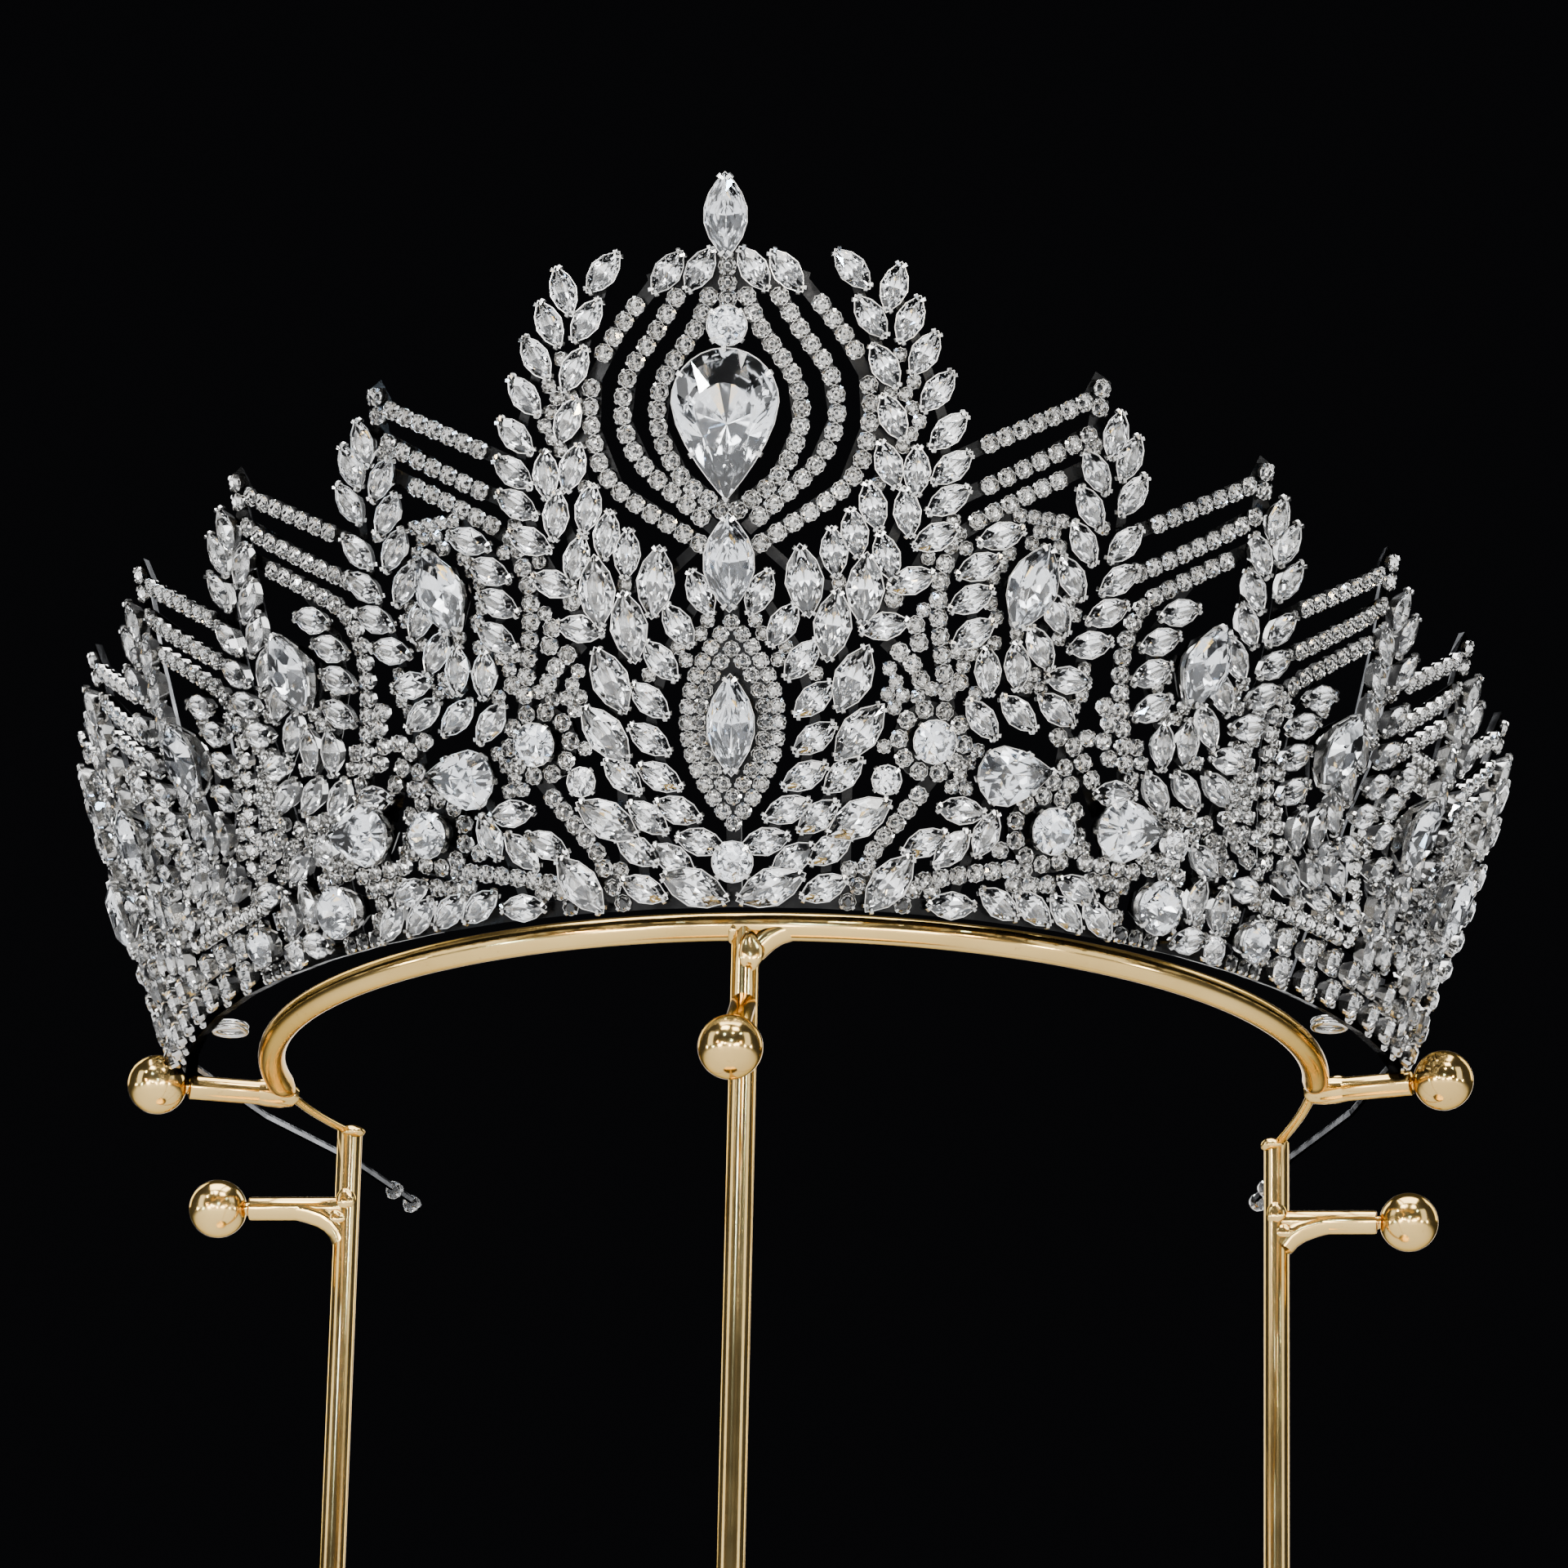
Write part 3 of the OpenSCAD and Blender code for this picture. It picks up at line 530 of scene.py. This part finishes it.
# Main stones, then leaves, then the small rounds, then the chains between them
for name, shape, w, l, height, tilt in CENTRE:
    set_stone(new_gems(name), "centre", shape, w, l, 14 if w > 8 else 9, GIRDLE, (0, height), tilt, big=True)
for side, word in ((-1, "left"), (1, "right")):
    for name, shape, w, l, angle, height, tilt, halo in LOWER:
        set_stone(new_gems(f"{name}_{word}"), word, shape, w, l, 8, GIRDLE,
                  (side * angle, height), side * tilt, big=True)
    for k, peak in enumerate(PEAKS, 1):
        (x, y), = from_peak(peak, [PEAK_STONE[:2]])
        set_stone(new_gems(f"peak_marquise_{k}_{word}"), word, "marquise", *PEAK_STONE_SIZE, 8, GIRDLE,
                  (side * x, y), side * PEAK_STONE[2], big=True)
    for k, peak in enumerate(PEAKS, 1):
        spray = new_gems(f"spray_leaves_{k}_{word}")
        for row in SPRAY_ROWS:
            leaf_row(spray, word, (*row[:3], from_peak(peak, row[3])), side, LEAF)
    fields = ("branch_leaves", "laurel_leaves", "edge_stones")
    branch, laurel, edge = (new_gems(f"{n}_{word}") for n in fields)
    for row in BRANCH_ROWS:
        leaf_row(branch, word, row, side, LEAF)
    for row in LAUREL_ROWS:
        leaf_row(laurel, word, row, side, LEAF)
    for row in LAUREL_BIG_ROWS:
        leaf_row(laurel, word, row, side, BIG_LEAF)
    for row in EDGE_ROWS:
        leaf_row(edge, word, row, side, LEAF)
    count, first, last, height, d = EDGE_ROUNDS
    for i in range(count):
        a = first + i * (last - first) / (count - 1)
        set_stone(edge, word, "round", d, d, 6, 0.0, (side * a, height), 0)
    extra = new_gems(f"added_leaves_{word}")
    for peak in PEAKS:
        for row in PEAK_EXTRA:
            places = from_peak(peak, row[3])
            if min(p[1] for p in places) > 2.5:
                leaf_row(extra, word, (*row[:3], places), side, LEAF)
    for row in FIELD_EXTRA:
        leaf_row(extra, word, row, side, LEAF)
    for a, height, d in ROUNDS_EXTRA:
        set_stone(extra, word, "round", d, d, 6, 0.0, (side * a, height), 0)

# Rings of rhinestones round the two haloed rounds and the halo marquise
for side, word in ((-1, "left"), (1, "right")):
    for row in LOWER:
        if row[7]:
            count = round(2 * math.pi * row[7] / 2.35)
            degree = math.radians(1) * (foot_r(row[4]) + row[5] * math.sin(LEAN))
            for i in range(count):
                turn = 2 * math.pi * (i + 0.5) / count
                place = (side * (row[4] + row[7] * math.sin(turn) / degree), row[5] + row[7] * math.cos(turn))
                rhinestone(word, place, side * math.degrees(turn), 2.0, 0.75, 0.55)
for hw, hl in HALO_ROWS:
    ring = outline("marquise", 2 * hw, 2 * hl, 24)
    degree = math.radians(1) * (foot_r(0) + HALO_AT * math.sin(LEAN))
    for half in (ring[:25], ring[24:] + ring[:1]):
        chain("centre", [(x / degree, HALO_AT + y) for x, y in half], 1, *HALO_STONES)
chain("centre", FINIAL_CHAIN, 1)
for side, word in ((-1, "left"), (1, "right")):
    for row in CENTRE_CHAINS:
        chain("centre", row, side)
    for peak in PEAKS:
        for row in [TIP_CHAIN] + PEAK_CHAINS:
            chain(word, from_peak(peak, row), side)
    for row in LOWER_CHAINS + CHAINS_EXTRA:
        chain(word, row, side)
    for row in FILLS:
        fill(word, side, *row)
    for row in FINE_FILLS:
        fill(word, side, *row, *FINE_STONES)


# The stand, drawn smooth, with its welds, screw threads and balls, and the two stones on each rear wire
stand, rear_gems, rear_metal = Gather(), Gather(), Gather()
balls = {}
RING_R, RING_X, RING_Z, RING_D, PEG_D, BALL_D = 64.5, 1.05, 268.15, 3.3, 3.0, 7.4
BASE_D, BASE_T, POST_D = 156.0, 5.0, 3.2
FRONT_DROP, LOWER_DROP, RIGHT_SAG = 9.2, 10.1, 2.0
TUBE_ANGLE, TAPER_ANGLE, POST_ANGLE, UPPER_ANGLE, UPPER_HEADING = 92.0, 98.0, 113.5, 97.0, 72.5
FRONT_PEG_L, LOWER_PEG_L, BALL_GAP, FLAT_R = 17.0, 16.6, 1.15, 0.65
# Screw between a peg and its ball: where it starts and ends before the ball's middle, and its radius
SCREW_FROM, SCREW_TO, SCREW_R = 4.6, 1.0, 0.78
# Webs of solder as offsets from the joint, and their radii; a side web has x and z alone
FRONT_WEB = [(0.1, -0.1, -5.6), (0.5, -0.2, -4.4), (1.0, -0.25, -3.3), (1.7, -0.2, -2.3),
             (2.6, -0.1, -1.4), (3.7, 0.05, -0.7), (4.9, 0.25, -0.25), (6.0, 0.4, 0.0)]
FRONT_WEB_R = [0.9, 1.2, 1.4, 1.5, 1.52, 1.52, 1.5, 1.4]
SIDE_WEB = [(-0.1, -5.8), (0.1, -4.6), (0.6, -3.2), (1.6, -1.9), (3.0, -1.0), (4.8, -0.4), (6.4, -0.1)]
SIDE_WEB_R = [1.3, 1.5, 1.6, 1.6, 1.55, 1.5, 1.4]
# Solder round the root of an upper peg: distances along it, and radii
COLLAR, COLLAR_R = [-0.9, -0.2, 1.4, 3.0, 4.6], [0.8, 1.45, 1.72, 1.68, 1.45]
# The stones of a rear wire: distance from the middle and to the rear, and their diameter
REAR_STONES, REAR_D = [(57.5, 66.0), (56.2, 73.2)], 2.2
UP = Vector((0, 0, 1))
PLAIN = Matrix.Identity(4)


def on_ring(a, z=0.0):
    t = math.radians(a)
    return Vector((RING_X + RING_R * math.sin(t), -RING_R * math.cos(t), RING_Z + z))


def sweep(points, radii, sides=16, wobble=0.0, flats=None):
    """A closed tube through points; wobble makes it lumpy like solder, flats squash it across."""
    pts, faces = [], []
    for i, p in enumerate(points):
        a, b = points[max(0, i - 1)], points[min(len(points) - 1, i + 1)]
        t = (b - a).normalized()
        side = t.cross(Vector((0, 0, 1)) if abs(t.z) < 0.9 else Vector((1, 0, 0))).normalized()
        up = side.cross(t)
        flat = flats[i] if flats else 1.0
        for k in range(sides):
            w = 2 * math.pi * k / sides
            r = radii[i] * (1 + wobble * (math.sin(3 * w + 1.7 * i) + math.sin(5 * w - 2.3 * i)) / 2)
            pts.append(tuple(p + side * (r * math.cos(w)) + up * (r * flat * math.sin(w))))
    for i in range(len(points) - 1):
        for k in range(sides):
            j = (k + 1) % sides
            a, b = i * sides, (i + 1) * sides
            faces.append([a + k, a + j, b + j, b + k])
    last = (len(points) - 1) * sides
    faces += [[sides - 1 - k for k in range(sides)], [last + k for k in range(sides)]]
    return pts, faces


def rod(start, way, length, r, sides=32):
    """A round rod with softened ends."""
    stops = [(0, r - 0.25), (0.1, r - 0.07), (0.3, r)]
    stops += [(length - 0.3, r), (length - 0.1, r - 0.07), (length, r - 0.25)]
    return sweep([start + way * v for v, _ in stops], [v for _, v in stops], sides)


def lathe(profile, m, sides=64):
    """Profile points (radius, height) turned round Z."""
    pts = [(r * math.cos(2 * math.pi * k / sides), r * math.sin(2 * math.pi * k / sides), z)
           for r, z in profile for k in range(sides)]
    faces = []
    for i in range(len(profile) - 1):
        for k in range(sides):
            j = (k + 1) % sides
            faces.append([i * sides + k, i * sides + j, (i + 1) * sides + j, (i + 1) * sides + k])
    last = (len(profile) - 1) * sides
    faces += [[sides - 1 - k for k in range(sides)], [last + k for k in range(sides)]]
    return pts, faces, m


def lump(at, size, turn=0.0):
    """A bead of solder: a squashed ball with a few dents."""
    pts, faces, rows, cols = [], [], 16, 24
    for i in range(rows + 1):
        u = math.pi * i / rows
        for k in range(cols):
            w = 2 * math.pi * k / cols
            f = 1 + 0.05 * math.sin(3 * w + 2 * u) * math.sin(u) + 0.04 * math.cos(4 * u + w)
            x, y, z = (f * math.sin(u) * math.cos(w) * size[0], f * math.sin(u) * math.sin(w) * size[1],
                       f * math.cos(u) * size[2])
            c, s = math.cos(turn), math.sin(turn)
            pts.append((at.x + c * x - s * y, at.y + s * x + c * y, at.z + z))
    for i in range(rows):
        for k in range(cols):
            j = (k + 1) % cols
            faces.append([i * cols + j, i * cols + k, (i + 1) * cols + k, (i + 1) * cols + j])
    return pts, faces


def thread(root, way, start, length, radius):
    """A screw's thread: a thin ridge wound round the neck between a peg and its ball."""
    side = way.cross(Vector((0, 0, 1))).normalized()
    up = side.cross(way)
    turns, steps = length / 0.5, int(length / 0.5 * 14)
    points = []
    for i in range(steps + 1):
        t = 2 * math.pi * turns * i / steps
        across = side * (radius * math.cos(t)) + up * (radius * math.sin(t))
        points.append(root + way * (start + length * i / steps) + across)
    return sweep(points, [0.13] * len(points), 6)


def heading(turn, slope):
    t, e = math.radians(turn), math.radians(slope)
    return Vector((math.sin(t) * math.cos(e), -math.cos(t) * math.cos(e), math.sin(e)))


# Base, posts, ring with its narrowed ends, and pegs
edge = [(BASE_D / 2 - 0.8 + 0.8 * math.sin(t), BASE_T - 0.8 + 0.8 * math.cos(t))
        for t in (math.pi / 2 * i / 6 for i in range(7))]
foot = [(BASE_D / 2 - 0.4 + 0.4 * math.cos(t), 0.4 - 0.4 * math.sin(t))
        for t in (math.pi / 2 * i / 4 for i in range(5))]
inner = BASE_D / 2 - 20
stand.add(*lathe([(inner, 0.0)] + foot[::-1] + edge[::-1] + [(inner, BASE_T)], PLAIN, 160))
stand.add(*rod(Vector((RING_X, -RING_R, BASE_T - 1)), UP, RING_Z - BASE_T + 1, POST_D / 2), PLAIN)
upper_ball_r = foot_r(END_ANGLE) + BALL_D / 2 + BALL_GAP
turn = math.radians(UPPER_ANGLE - UPPER_HEADING)
upper_l = math.sqrt(upper_ball_r ** 2 - (RING_R * math.sin(turn)) ** 2) - RING_R * math.cos(turn)
pegs = [("ball_front", on_ring(0, -FRONT_DROP), heading(0, -33), FRONT_PEG_L)]
stops = []
for i in range(-60, 61):
    a = TUBE_ANGLE * i / 60
    stops.append((a, 0.0, RING_D / 2, 1.0))
for side in (-1, 1):
    sag = RIGHT_SAG if side > 0 else 0.0
    word = "left" if side < 0 else "right"
    ends = []
    for a in (94, 96, TAPER_ANGLE, 100, 102, 104, 106, 108, 110, 112, POST_ANGLE):
        k = min(1, (a - TUBE_ANGLE) / (TAPER_ANGLE - TUBE_ANGLE))
        k = k * k * (3 - 2 * k)
        fall = max(0, (a - TAPER_ANGLE) / (POST_ANGLE - TAPER_ANGLE))
        radius = RING_D / 2 + k * (FLAT_R - RING_D / 2)
        ends.append((side * a, -sag * fall * (0.6 + 0.4 * fall), radius, 1 - 0.38 * k))
    stops = ends[::-1] + stops if side < 0 else stops + ends
    post = on_ring(side * POST_ANGLE, -sag)
    root = Vector((post.x, post.y, BASE_T - 1))
    stand.add(*rod(root, UP, post.z + 0.4 - BASE_T + 1, POST_D / 2), PLAIN)
    upper, lower = on_ring(side * UPPER_ANGLE), on_ring(side * POST_ANGLE, -LOWER_DROP - sag)
    pegs.append((f"ball_upper_{word}", upper, heading(side * UPPER_HEADING, 0), upper_l))
    pegs.append((f"ball_lower_{word}", lower, heading(side * 90, 0), LOWER_PEG_L))
stand.add(*sweep([on_ring(a, z) for a, z, _, _ in stops], [r for _, _, r, _ in stops], 32,
                 flats=[f for _, _, _, f in stops]), PLAIN)
for name, root, way, length in pegs:
    stand.add(*rod(root, way, length - BALL_D / 2 - 0.3, PEG_D / 2), PLAIN)
    screw = [root + way * (length - v) for v in (SCREW_FROM, SCREW_TO)]
    stand.add(*sweep(screw, [SCREW_R, SCREW_R], 16), PLAIN)
    stand.add(*thread(root, way, length - 4.25, 0.75, 0.8), PLAIN)
    x = way.cross(UP).normalized()
    m = Matrix((x, way.cross(x), way)).transposed().to_4x4()
    m.translation = root + way * length
    angles = [0.30 + (math.pi - 0.301) * i / 40 for i in range(41)]
    balls[name] = Gather()
    balls[name].add(*lathe([(BALL_D / 2 * math.sin(t), -BALL_D / 2 * math.cos(t)) for t in angles], m))

# Welds: the front joint runs into the ring on its right, the lower pegs have a web below
front = on_ring(0)
stand.add(*sweep([front + Vector(v) for v in FRONT_WEB], FRONT_WEB_R, 24, 0.02), PLAIN)
stand.add(*lump(front + Vector((0.85, -1.3, -3.3)), (1.5, 0.95, 2.3), 0.25), PLAIN)
stand.add(*lump(front + Vector((-1.35, 0.0, -0.35)), (0.85, 1.72, 1.72)), PLAIN)
for side in (-1, 1):
    sag = RIGHT_SAG if side > 0 else 0
    root = on_ring(side * POST_ANGLE, -LOWER_DROP - sag)
    web = [root + Vector((side * x, -0.05, z)) for x, z in SIDE_WEB]
    stand.add(*sweep(web, SIDE_WEB_R, 24, 0.02), PLAIN)
    stand.add(*lump(root + Vector((0, -1.1, 0.9)), (1.25, 0.9, 1.5)), PLAIN)
    stand.add(*lump(root + Vector((side * 1.0, -0.95, -1.5)), (1.3, 0.95, 1.1)), PLAIN)
    top = on_ring(side * POST_ANGLE, -sag)
    stand.add(*lump(top + Vector((-side * 0.5, -0.6, -0.2)), (1.5, 1.5, 0.85)), PLAIN)
    base, way = on_ring(side * UPPER_ANGLE), heading(side * UPPER_HEADING, 0)
    stand.add(*sweep([base + way * v for v in COLLAR], COLLAR_R, 24, 0.02), PLAIN)
    stand.add(*lump(base + way * 3.4 + Vector((0, 0, 1.0)), (1.3, 1.0, 0.75)), PLAIN)

for side in (-1, 1):
    for x, y in REAR_STONES:
        z = Vector((side * 0.45, -0.85, -0.28)).normalized()
        x0 = Vector((0, 0, 1)).cross(z).normalized()
        m = Matrix((x0, z.cross(x0), z)).transposed().to_4x4()
        m.translation = Vector((side * x, y, FOOT_Z + 1.1)) + z * 0.3
        points, faces, _ = brilliant("round", REAR_D, REAR_D, 6, 0.0)
        rear_gems.add(points, faces, m)
        rear_metal.add(*cup("round", REAR_D, REAR_D, 6, 0.12, 0.6, 0.4), m)
        for at in CLAWS["round"]:
            rear_metal.add(*stub(REAR_D, at), m)


# Materials
class Nodes:
    def __init__(self, name):
        self.material = bpy.data.materials.new(name)
        self.material.use_nodes = True
        self.tree = self.material.node_tree
        self.shader = self.tree.nodes["Principled BSDF"]
        self.coords = self.tree.nodes.new("ShaderNodeTexCoord")

    def noise(self, scale, detail=3.0, rough=0.5):
        n = self.tree.nodes.new("ShaderNodeTexNoise")
        n.inputs["Scale"].default_value = scale
        n.inputs["Detail"].default_value = detail
        n.inputs["Roughness"].default_value = rough
        self.tree.links.new(self.coords.outputs["Object"], n.inputs["Vector"])
        return n.outputs["Fac"]

    def ramp(self, value, stops):
        n = self.tree.nodes.new("ShaderNodeValToRGB")
        while len(n.color_ramp.elements) < len(stops):
            n.color_ramp.elements.new(0.5)
        for e, (at, colour) in zip(n.color_ramp.elements, stops):
            e.position, e.color = at, (*colour, 1)
        self.tree.links.new(value, n.inputs["Fac"])
        return n.outputs["Color"]

    def between(self, value, low, high, start=0.35, end=0.65):
        n = self.tree.nodes.new("ShaderNodeMapRange")
        for key, v in (("From Min", start), ("From Max", end), ("To Min", low), ("To Max", high)):
            n.inputs[key].default_value = v
        self.tree.links.new(value, n.inputs["Value"])
        return n.outputs["Result"]

    def mix(self, factor, a, b):
        n = self.tree.nodes.new("ShaderNodeMix")
        n.data_type = "RGBA"
        self.tree.links.new(factor, n.inputs[0])
        for socket, v in ((n.inputs[6], a), (n.inputs[7], b)):
            if isinstance(v, tuple):
                socket.default_value = (*v, 1)
            else:
                self.tree.links.new(v, socket)
        return n.outputs[2]

    def bump(self, value, strength, distance):
        n = self.tree.nodes.new("ShaderNodeBump")
        n.inputs["Strength"].default_value = strength
        n.inputs["Distance"].default_value = distance
        self.tree.links.new(value, n.inputs["Height"])
        self.tree.links.new(n.outputs["Normal"], self.shader.inputs["Normal"])

    def to(self, output, socket):
        self.tree.links.new(output, self.shader.inputs[socket])

    def set(self, **values):
        for key, v in values.items():
            self.shader.inputs[key.replace("_", " ")].default_value = v


def gold_metal(name, low, high, speck):
    m = Nodes(name)
    m.set(Metallic=1.0, Specular_Tint=(0.82, 0.64, 0.38, 1))
    base = m.ramp(m.noise(45, 4), [(0.35, (0.55, 0.36, 0.12)), (0.65, (0.69, 0.47, 0.17))])
    specks = m.between(m.noise(900, 6, 0.7), 0.0, speck, 0.62, 0.72)
    m.to(m.mix(specks, base, (0.20, 0.11, 0.03)), "Base Color")
    m.to(m.between(m.noise(160, 5, 0.6), low, high), "Roughness")
    m.bump(m.noise(700, 4, 0.6), 0.05, 0.0002)
    return m.material


def silver_metal(name, low, high):
    m = Nodes(name)
    m.set(Metallic=1.0)
    m.to(m.ramp(m.noise(220, 3), [(0.3, low), (0.7, high)]), "Base Color")
    m.to(m.between(m.noise(500, 3), 0.10, 0.28), "Roughness")
    m.bump(m.noise(2600, 2), 0.08, 0.0001)
    return m.material


def frame_metal():
    """Silver toward the wearer. The other sides are nearly black: painted shade, a guess that hides bare
    strips.
    """
    m = Nodes("silver_frame_painted_shade")
    m.set(Metallic=1.0, Specular_Tint=(0.12, 0.12, 0.12, 1))
    geometry = m.tree.nodes.new("ShaderNodeNewGeometry")
    flat = m.tree.nodes.new("ShaderNodeVectorMath")
    flat.operation = "MULTIPLY"
    flat.inputs[1].default_value = (1, 1, 0)
    m.tree.links.new(geometry.outputs["Position"], flat.inputs[0])
    along = m.tree.nodes.new("ShaderNodeVectorMath")
    along.operation = "NORMALIZE"
    m.tree.links.new(flat.outputs[0], along.inputs[0])
    dot = m.tree.nodes.new("ShaderNodeVectorMath")
    dot.operation = "DOT_PRODUCT"
    m.tree.links.new(along.outputs[0], dot.inputs[0])
    m.tree.links.new(geometry.outputs["Normal"], dot.inputs[1])
    # Painted shade: every face that doesn't look toward the wearer gets the nearly black colour below.
    outward = m.between(dot.outputs["Value"], 0.0, 1.0, -0.85, -0.4)
    bright = m.ramp(m.noise(220, 3), [(0.3, (0.42, 0.42, 0.43)), (0.7, (0.60, 0.60, 0.61))])
    painted_shade = m.ramp(m.noise(260, 3), [(0.3, (0.006, 0.006, 0.006)), (0.7, (0.016, 0.016, 0.016))])
    m.to(m.mix(outward, bright, painted_shade), "Base Color")
    m.to(m.between(m.noise(500, 3), 0.14, 0.32), "Roughness")
    m.bump(m.noise(2600, 2), 0.08, 0.0001)
    return m.material


def crystal(name, ior, low, high, clear):
    m = Nodes(name)
    m.set(Transmission_Weight=clear, IOR=ior)
    m.to(m.ramp(m.noise(120, 2), [(0.35, low), (0.65, high)]), "Base Color")
    m.to(m.between(m.noise(300, 2), 0.0, 0.01), "Roughness")
    return m.material


def foil(name, low, high):
    m = Nodes(name)
    m.set(Metallic=1.0)
    m.to(m.ramp(m.noise(260, 2), [(0.3, low), (0.7, high)]), "Base Color")
    m.to(m.between(m.noise(400, 2), 0.03, 0.10), "Roughness")
    return m.material


GOLD = gold_metal("gold_plated_metal", 0.13, 0.18, 0.5)
BALL_GOLD = gold_metal("gold_plated_balls", 0.10, 0.17, 0.6)
SILVER = silver_metal("silver_plated_metal", (0.38, 0.37, 0.35), (0.60, 0.59, 0.57))
FRAME_SILVER_PAINTED_SHADE = frame_metal()
CLEAR = crystal("large_crystal", 1.7, (0.97, 0.98, 0.99), (1.0, 1.0, 1.0), 1.0)
SMALL = crystal("small_crystal", 1.8, (0.97, 0.975, 0.98), (1.0, 1.0, 1.0), 1.0)
CHAIN = crystal("chain_crystal", 1.55, (0.90, 0.90, 0.89), (0.98, 0.98, 0.98), 1.0)
FOIL = foil("rhinestone_foil", (0.52, 0.505, 0.48), (0.80, 0.79, 0.77))
BRIGHT_FOIL = foil("large_stone_foil", (0.84, 0.85, 0.87), (0.95, 0.96, 0.97))

for name, gather in gems.items():
    small = "leaves" in name or "edge_stones" in name
    obj = gather.make(f"{name}_cut", [SMALL] if small else [CLEAR, BRIGHT_FOIL])
    if not name.startswith("added"):
        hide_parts(name)
for part in metal:
    metal[part].make(f"settings_{part}", [SILVER])
    chain_gems[part].make(f"chain_stones_{part}", [CHAIN, FOIL])
obj = stand.make("stand_polished", [GOLD], 40)
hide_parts("display_stand")
for name in balls:
    obj = balls[name].make(f"{name}_polished", [BALL_GOLD], 40)
    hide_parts(name)
rear_gems.make("rear_stones", [SMALL])
rear_metal.make("rear_settings", [SILVER])


def dress(node, material):
    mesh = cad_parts[node].data
    mesh.materials.clear()
    mesh.materials.append(material)


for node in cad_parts:
    if node.startswith("hair_loop"):
        dress(node, SILVER)
    # The crown frame gets painted shade on its faces away from the wearer.
    if node == "crown_frame":
        dress(node, FRAME_SILVER_PAINTED_SHADE)


# Studio: a pale floor, soft boxes, small lights, and a world black to the camera and dim to the rest
# Soft boxes: angle from the front, height angle, distance in metres, size, brightness, colour
BOXES = [
    (-66, 16, 1.3, (0.5, 0.9), 2.4, (0.98, 0.99, 1.0)),
    (66, 16, 1.3, (0.5, 0.9), 2.2, (0.95, 0.98, 1.0)),
    (-20, 52, 1.4, (0.5, 0.35), 20.0, (0.97, 0.99, 1.0)),
    (26, 48, 1.4, (0.4, 0.3), 18.0, (1.0, 0.98, 0.95)),
    (-30, -9, 1.25, (0.24, 0.14), 32.0, (0.98, 0.99, 1.0)),
    (29, -7, 1.25, (0.24, 0.14), 30.0, (0.95, 0.98, 1.0)),
    (2, -7, 1.3, (0.42, 0.14), 5.0, (0.96, 0.98, 1.0)),
    (0, 86, 1.4, (1.3, 0.9), 9.5, (0.97, 0.98, 1.0)),
    (-138, 28, 1.3, (0.4, 0.8), 5.0, (0.95, 0.98, 1.0)),
    (138, 28, 1.3, (0.4, 0.8), 5.0, (0.95, 0.98, 1.0)),
    (180, 10, 1.5, (0.9, 0.4), 2.4, (1, 1, 1)),
]
# Small lights that give the glints: angle from the front, height angle, tint
SPARK_SIZE, SPARK_BRIGHT = (0.05, 0.05), 200
SPARKS = [
    (-38, 2, (1.0, 0.72, 0.38)), (-15, 26, (0.45, 0.65, 1.0)), (-12, -5, (1, 1, 1)),
    (8, 4, (0.5, 0.7, 1.0)), (14, 30, (1, 1, 1)), (40, 0, (1.0, 0.78, 0.45)),
    (42, 30, (0.55, 0.75, 1.0)), (-45, 32, (1, 1, 1)), (3, -12, (1, 0.95, 0.9)),
    (-80, -4, (1, 1, 1)), (80, -4, (1, 1, 1)), (-55, -9, (0.6, 0.8, 1.0)),
    (56, -8, (1, 1, 1)), (-22, -3, (1, 1, 1)), (20, -10, (1, 0.9, 0.75)),
]
SPARK_AWAY = 1.2
WORLD_SEEN, WORLD_AROUND = (0.003, 0.003, 0.0035, 1), (0.08, 0.082, 0.088, 1)


def box(az, el, away, size, bright, colour):
    """A soft box round the crown, turned to it; bright is what a mirror would show of it."""
    a, e = math.radians(az), math.radians(el)
    aim = Vector((0, 0, 0.3))
    back = Vector((math.sin(a) * math.cos(e), -math.cos(a) * math.cos(e), math.sin(e)))
    data = bpy.data.lights.new("soft_box", "AREA")
    data.shape, data.size, data.size_y = "RECTANGLE", size[0], size[1]
    data.energy, data.color = bright * math.pi * size[0] * size[1], colour
    light = bpy.data.objects.new("soft_box", data)
    bpy.context.scene.collection.objects.link(light)
    light.location = aim + back * away
    light.rotation_euler = (-back).to_track_quat("-Z", "Y").to_euler()


def studio():
    floor_mesh = bpy.data.meshes.new("floor")
    s = 6.0
    floor_mesh.from_pydata([(-s, -s, 0), (s, -s, 0), (s, s, 0), (-s, s, 0)], [], [(0, 1, 2, 3)])
    floor = bpy.data.objects.new("floor", floor_mesh)
    bpy.context.scene.collection.objects.link(floor)
    pale = Nodes("floor_pale")
    pale.to(pale.ramp(pale.noise(3, 2), [(0.3, (0.74, 0.74, 0.74)), (0.7, (0.78, 0.78, 0.78))]), "Base Color")
    pale.set(Roughness=0.7)
    floor_mesh.materials.append(pale.material)
    world = bpy.data.worlds.new("studio")
    world.use_nodes = True
    tree = world.node_tree
    seen, around = tree.nodes["Background"], tree.nodes.new("ShaderNodeBackground")
    seen.inputs["Color"].default_value = WORLD_SEEN
    around.inputs["Color"].default_value = WORLD_AROUND
    choice, path = tree.nodes.new("ShaderNodeMixShader"), tree.nodes.new("ShaderNodeLightPath")
    tree.links.new(path.outputs["Is Camera Ray"], choice.inputs[0])
    tree.links.new(around.outputs[0], choice.inputs[1])
    tree.links.new(seen.outputs[0], choice.inputs[2])
    tree.links.new(choice.outputs[0], tree.nodes["World Output"].inputs["Surface"])
    bpy.context.scene.world = world
    for row in BOXES:
        box(*row)
    for az, el, tint in SPARKS:
        box(az, el, SPARK_AWAY, SPARK_SIZE, SPARK_BRIGHT, tint)


studio()
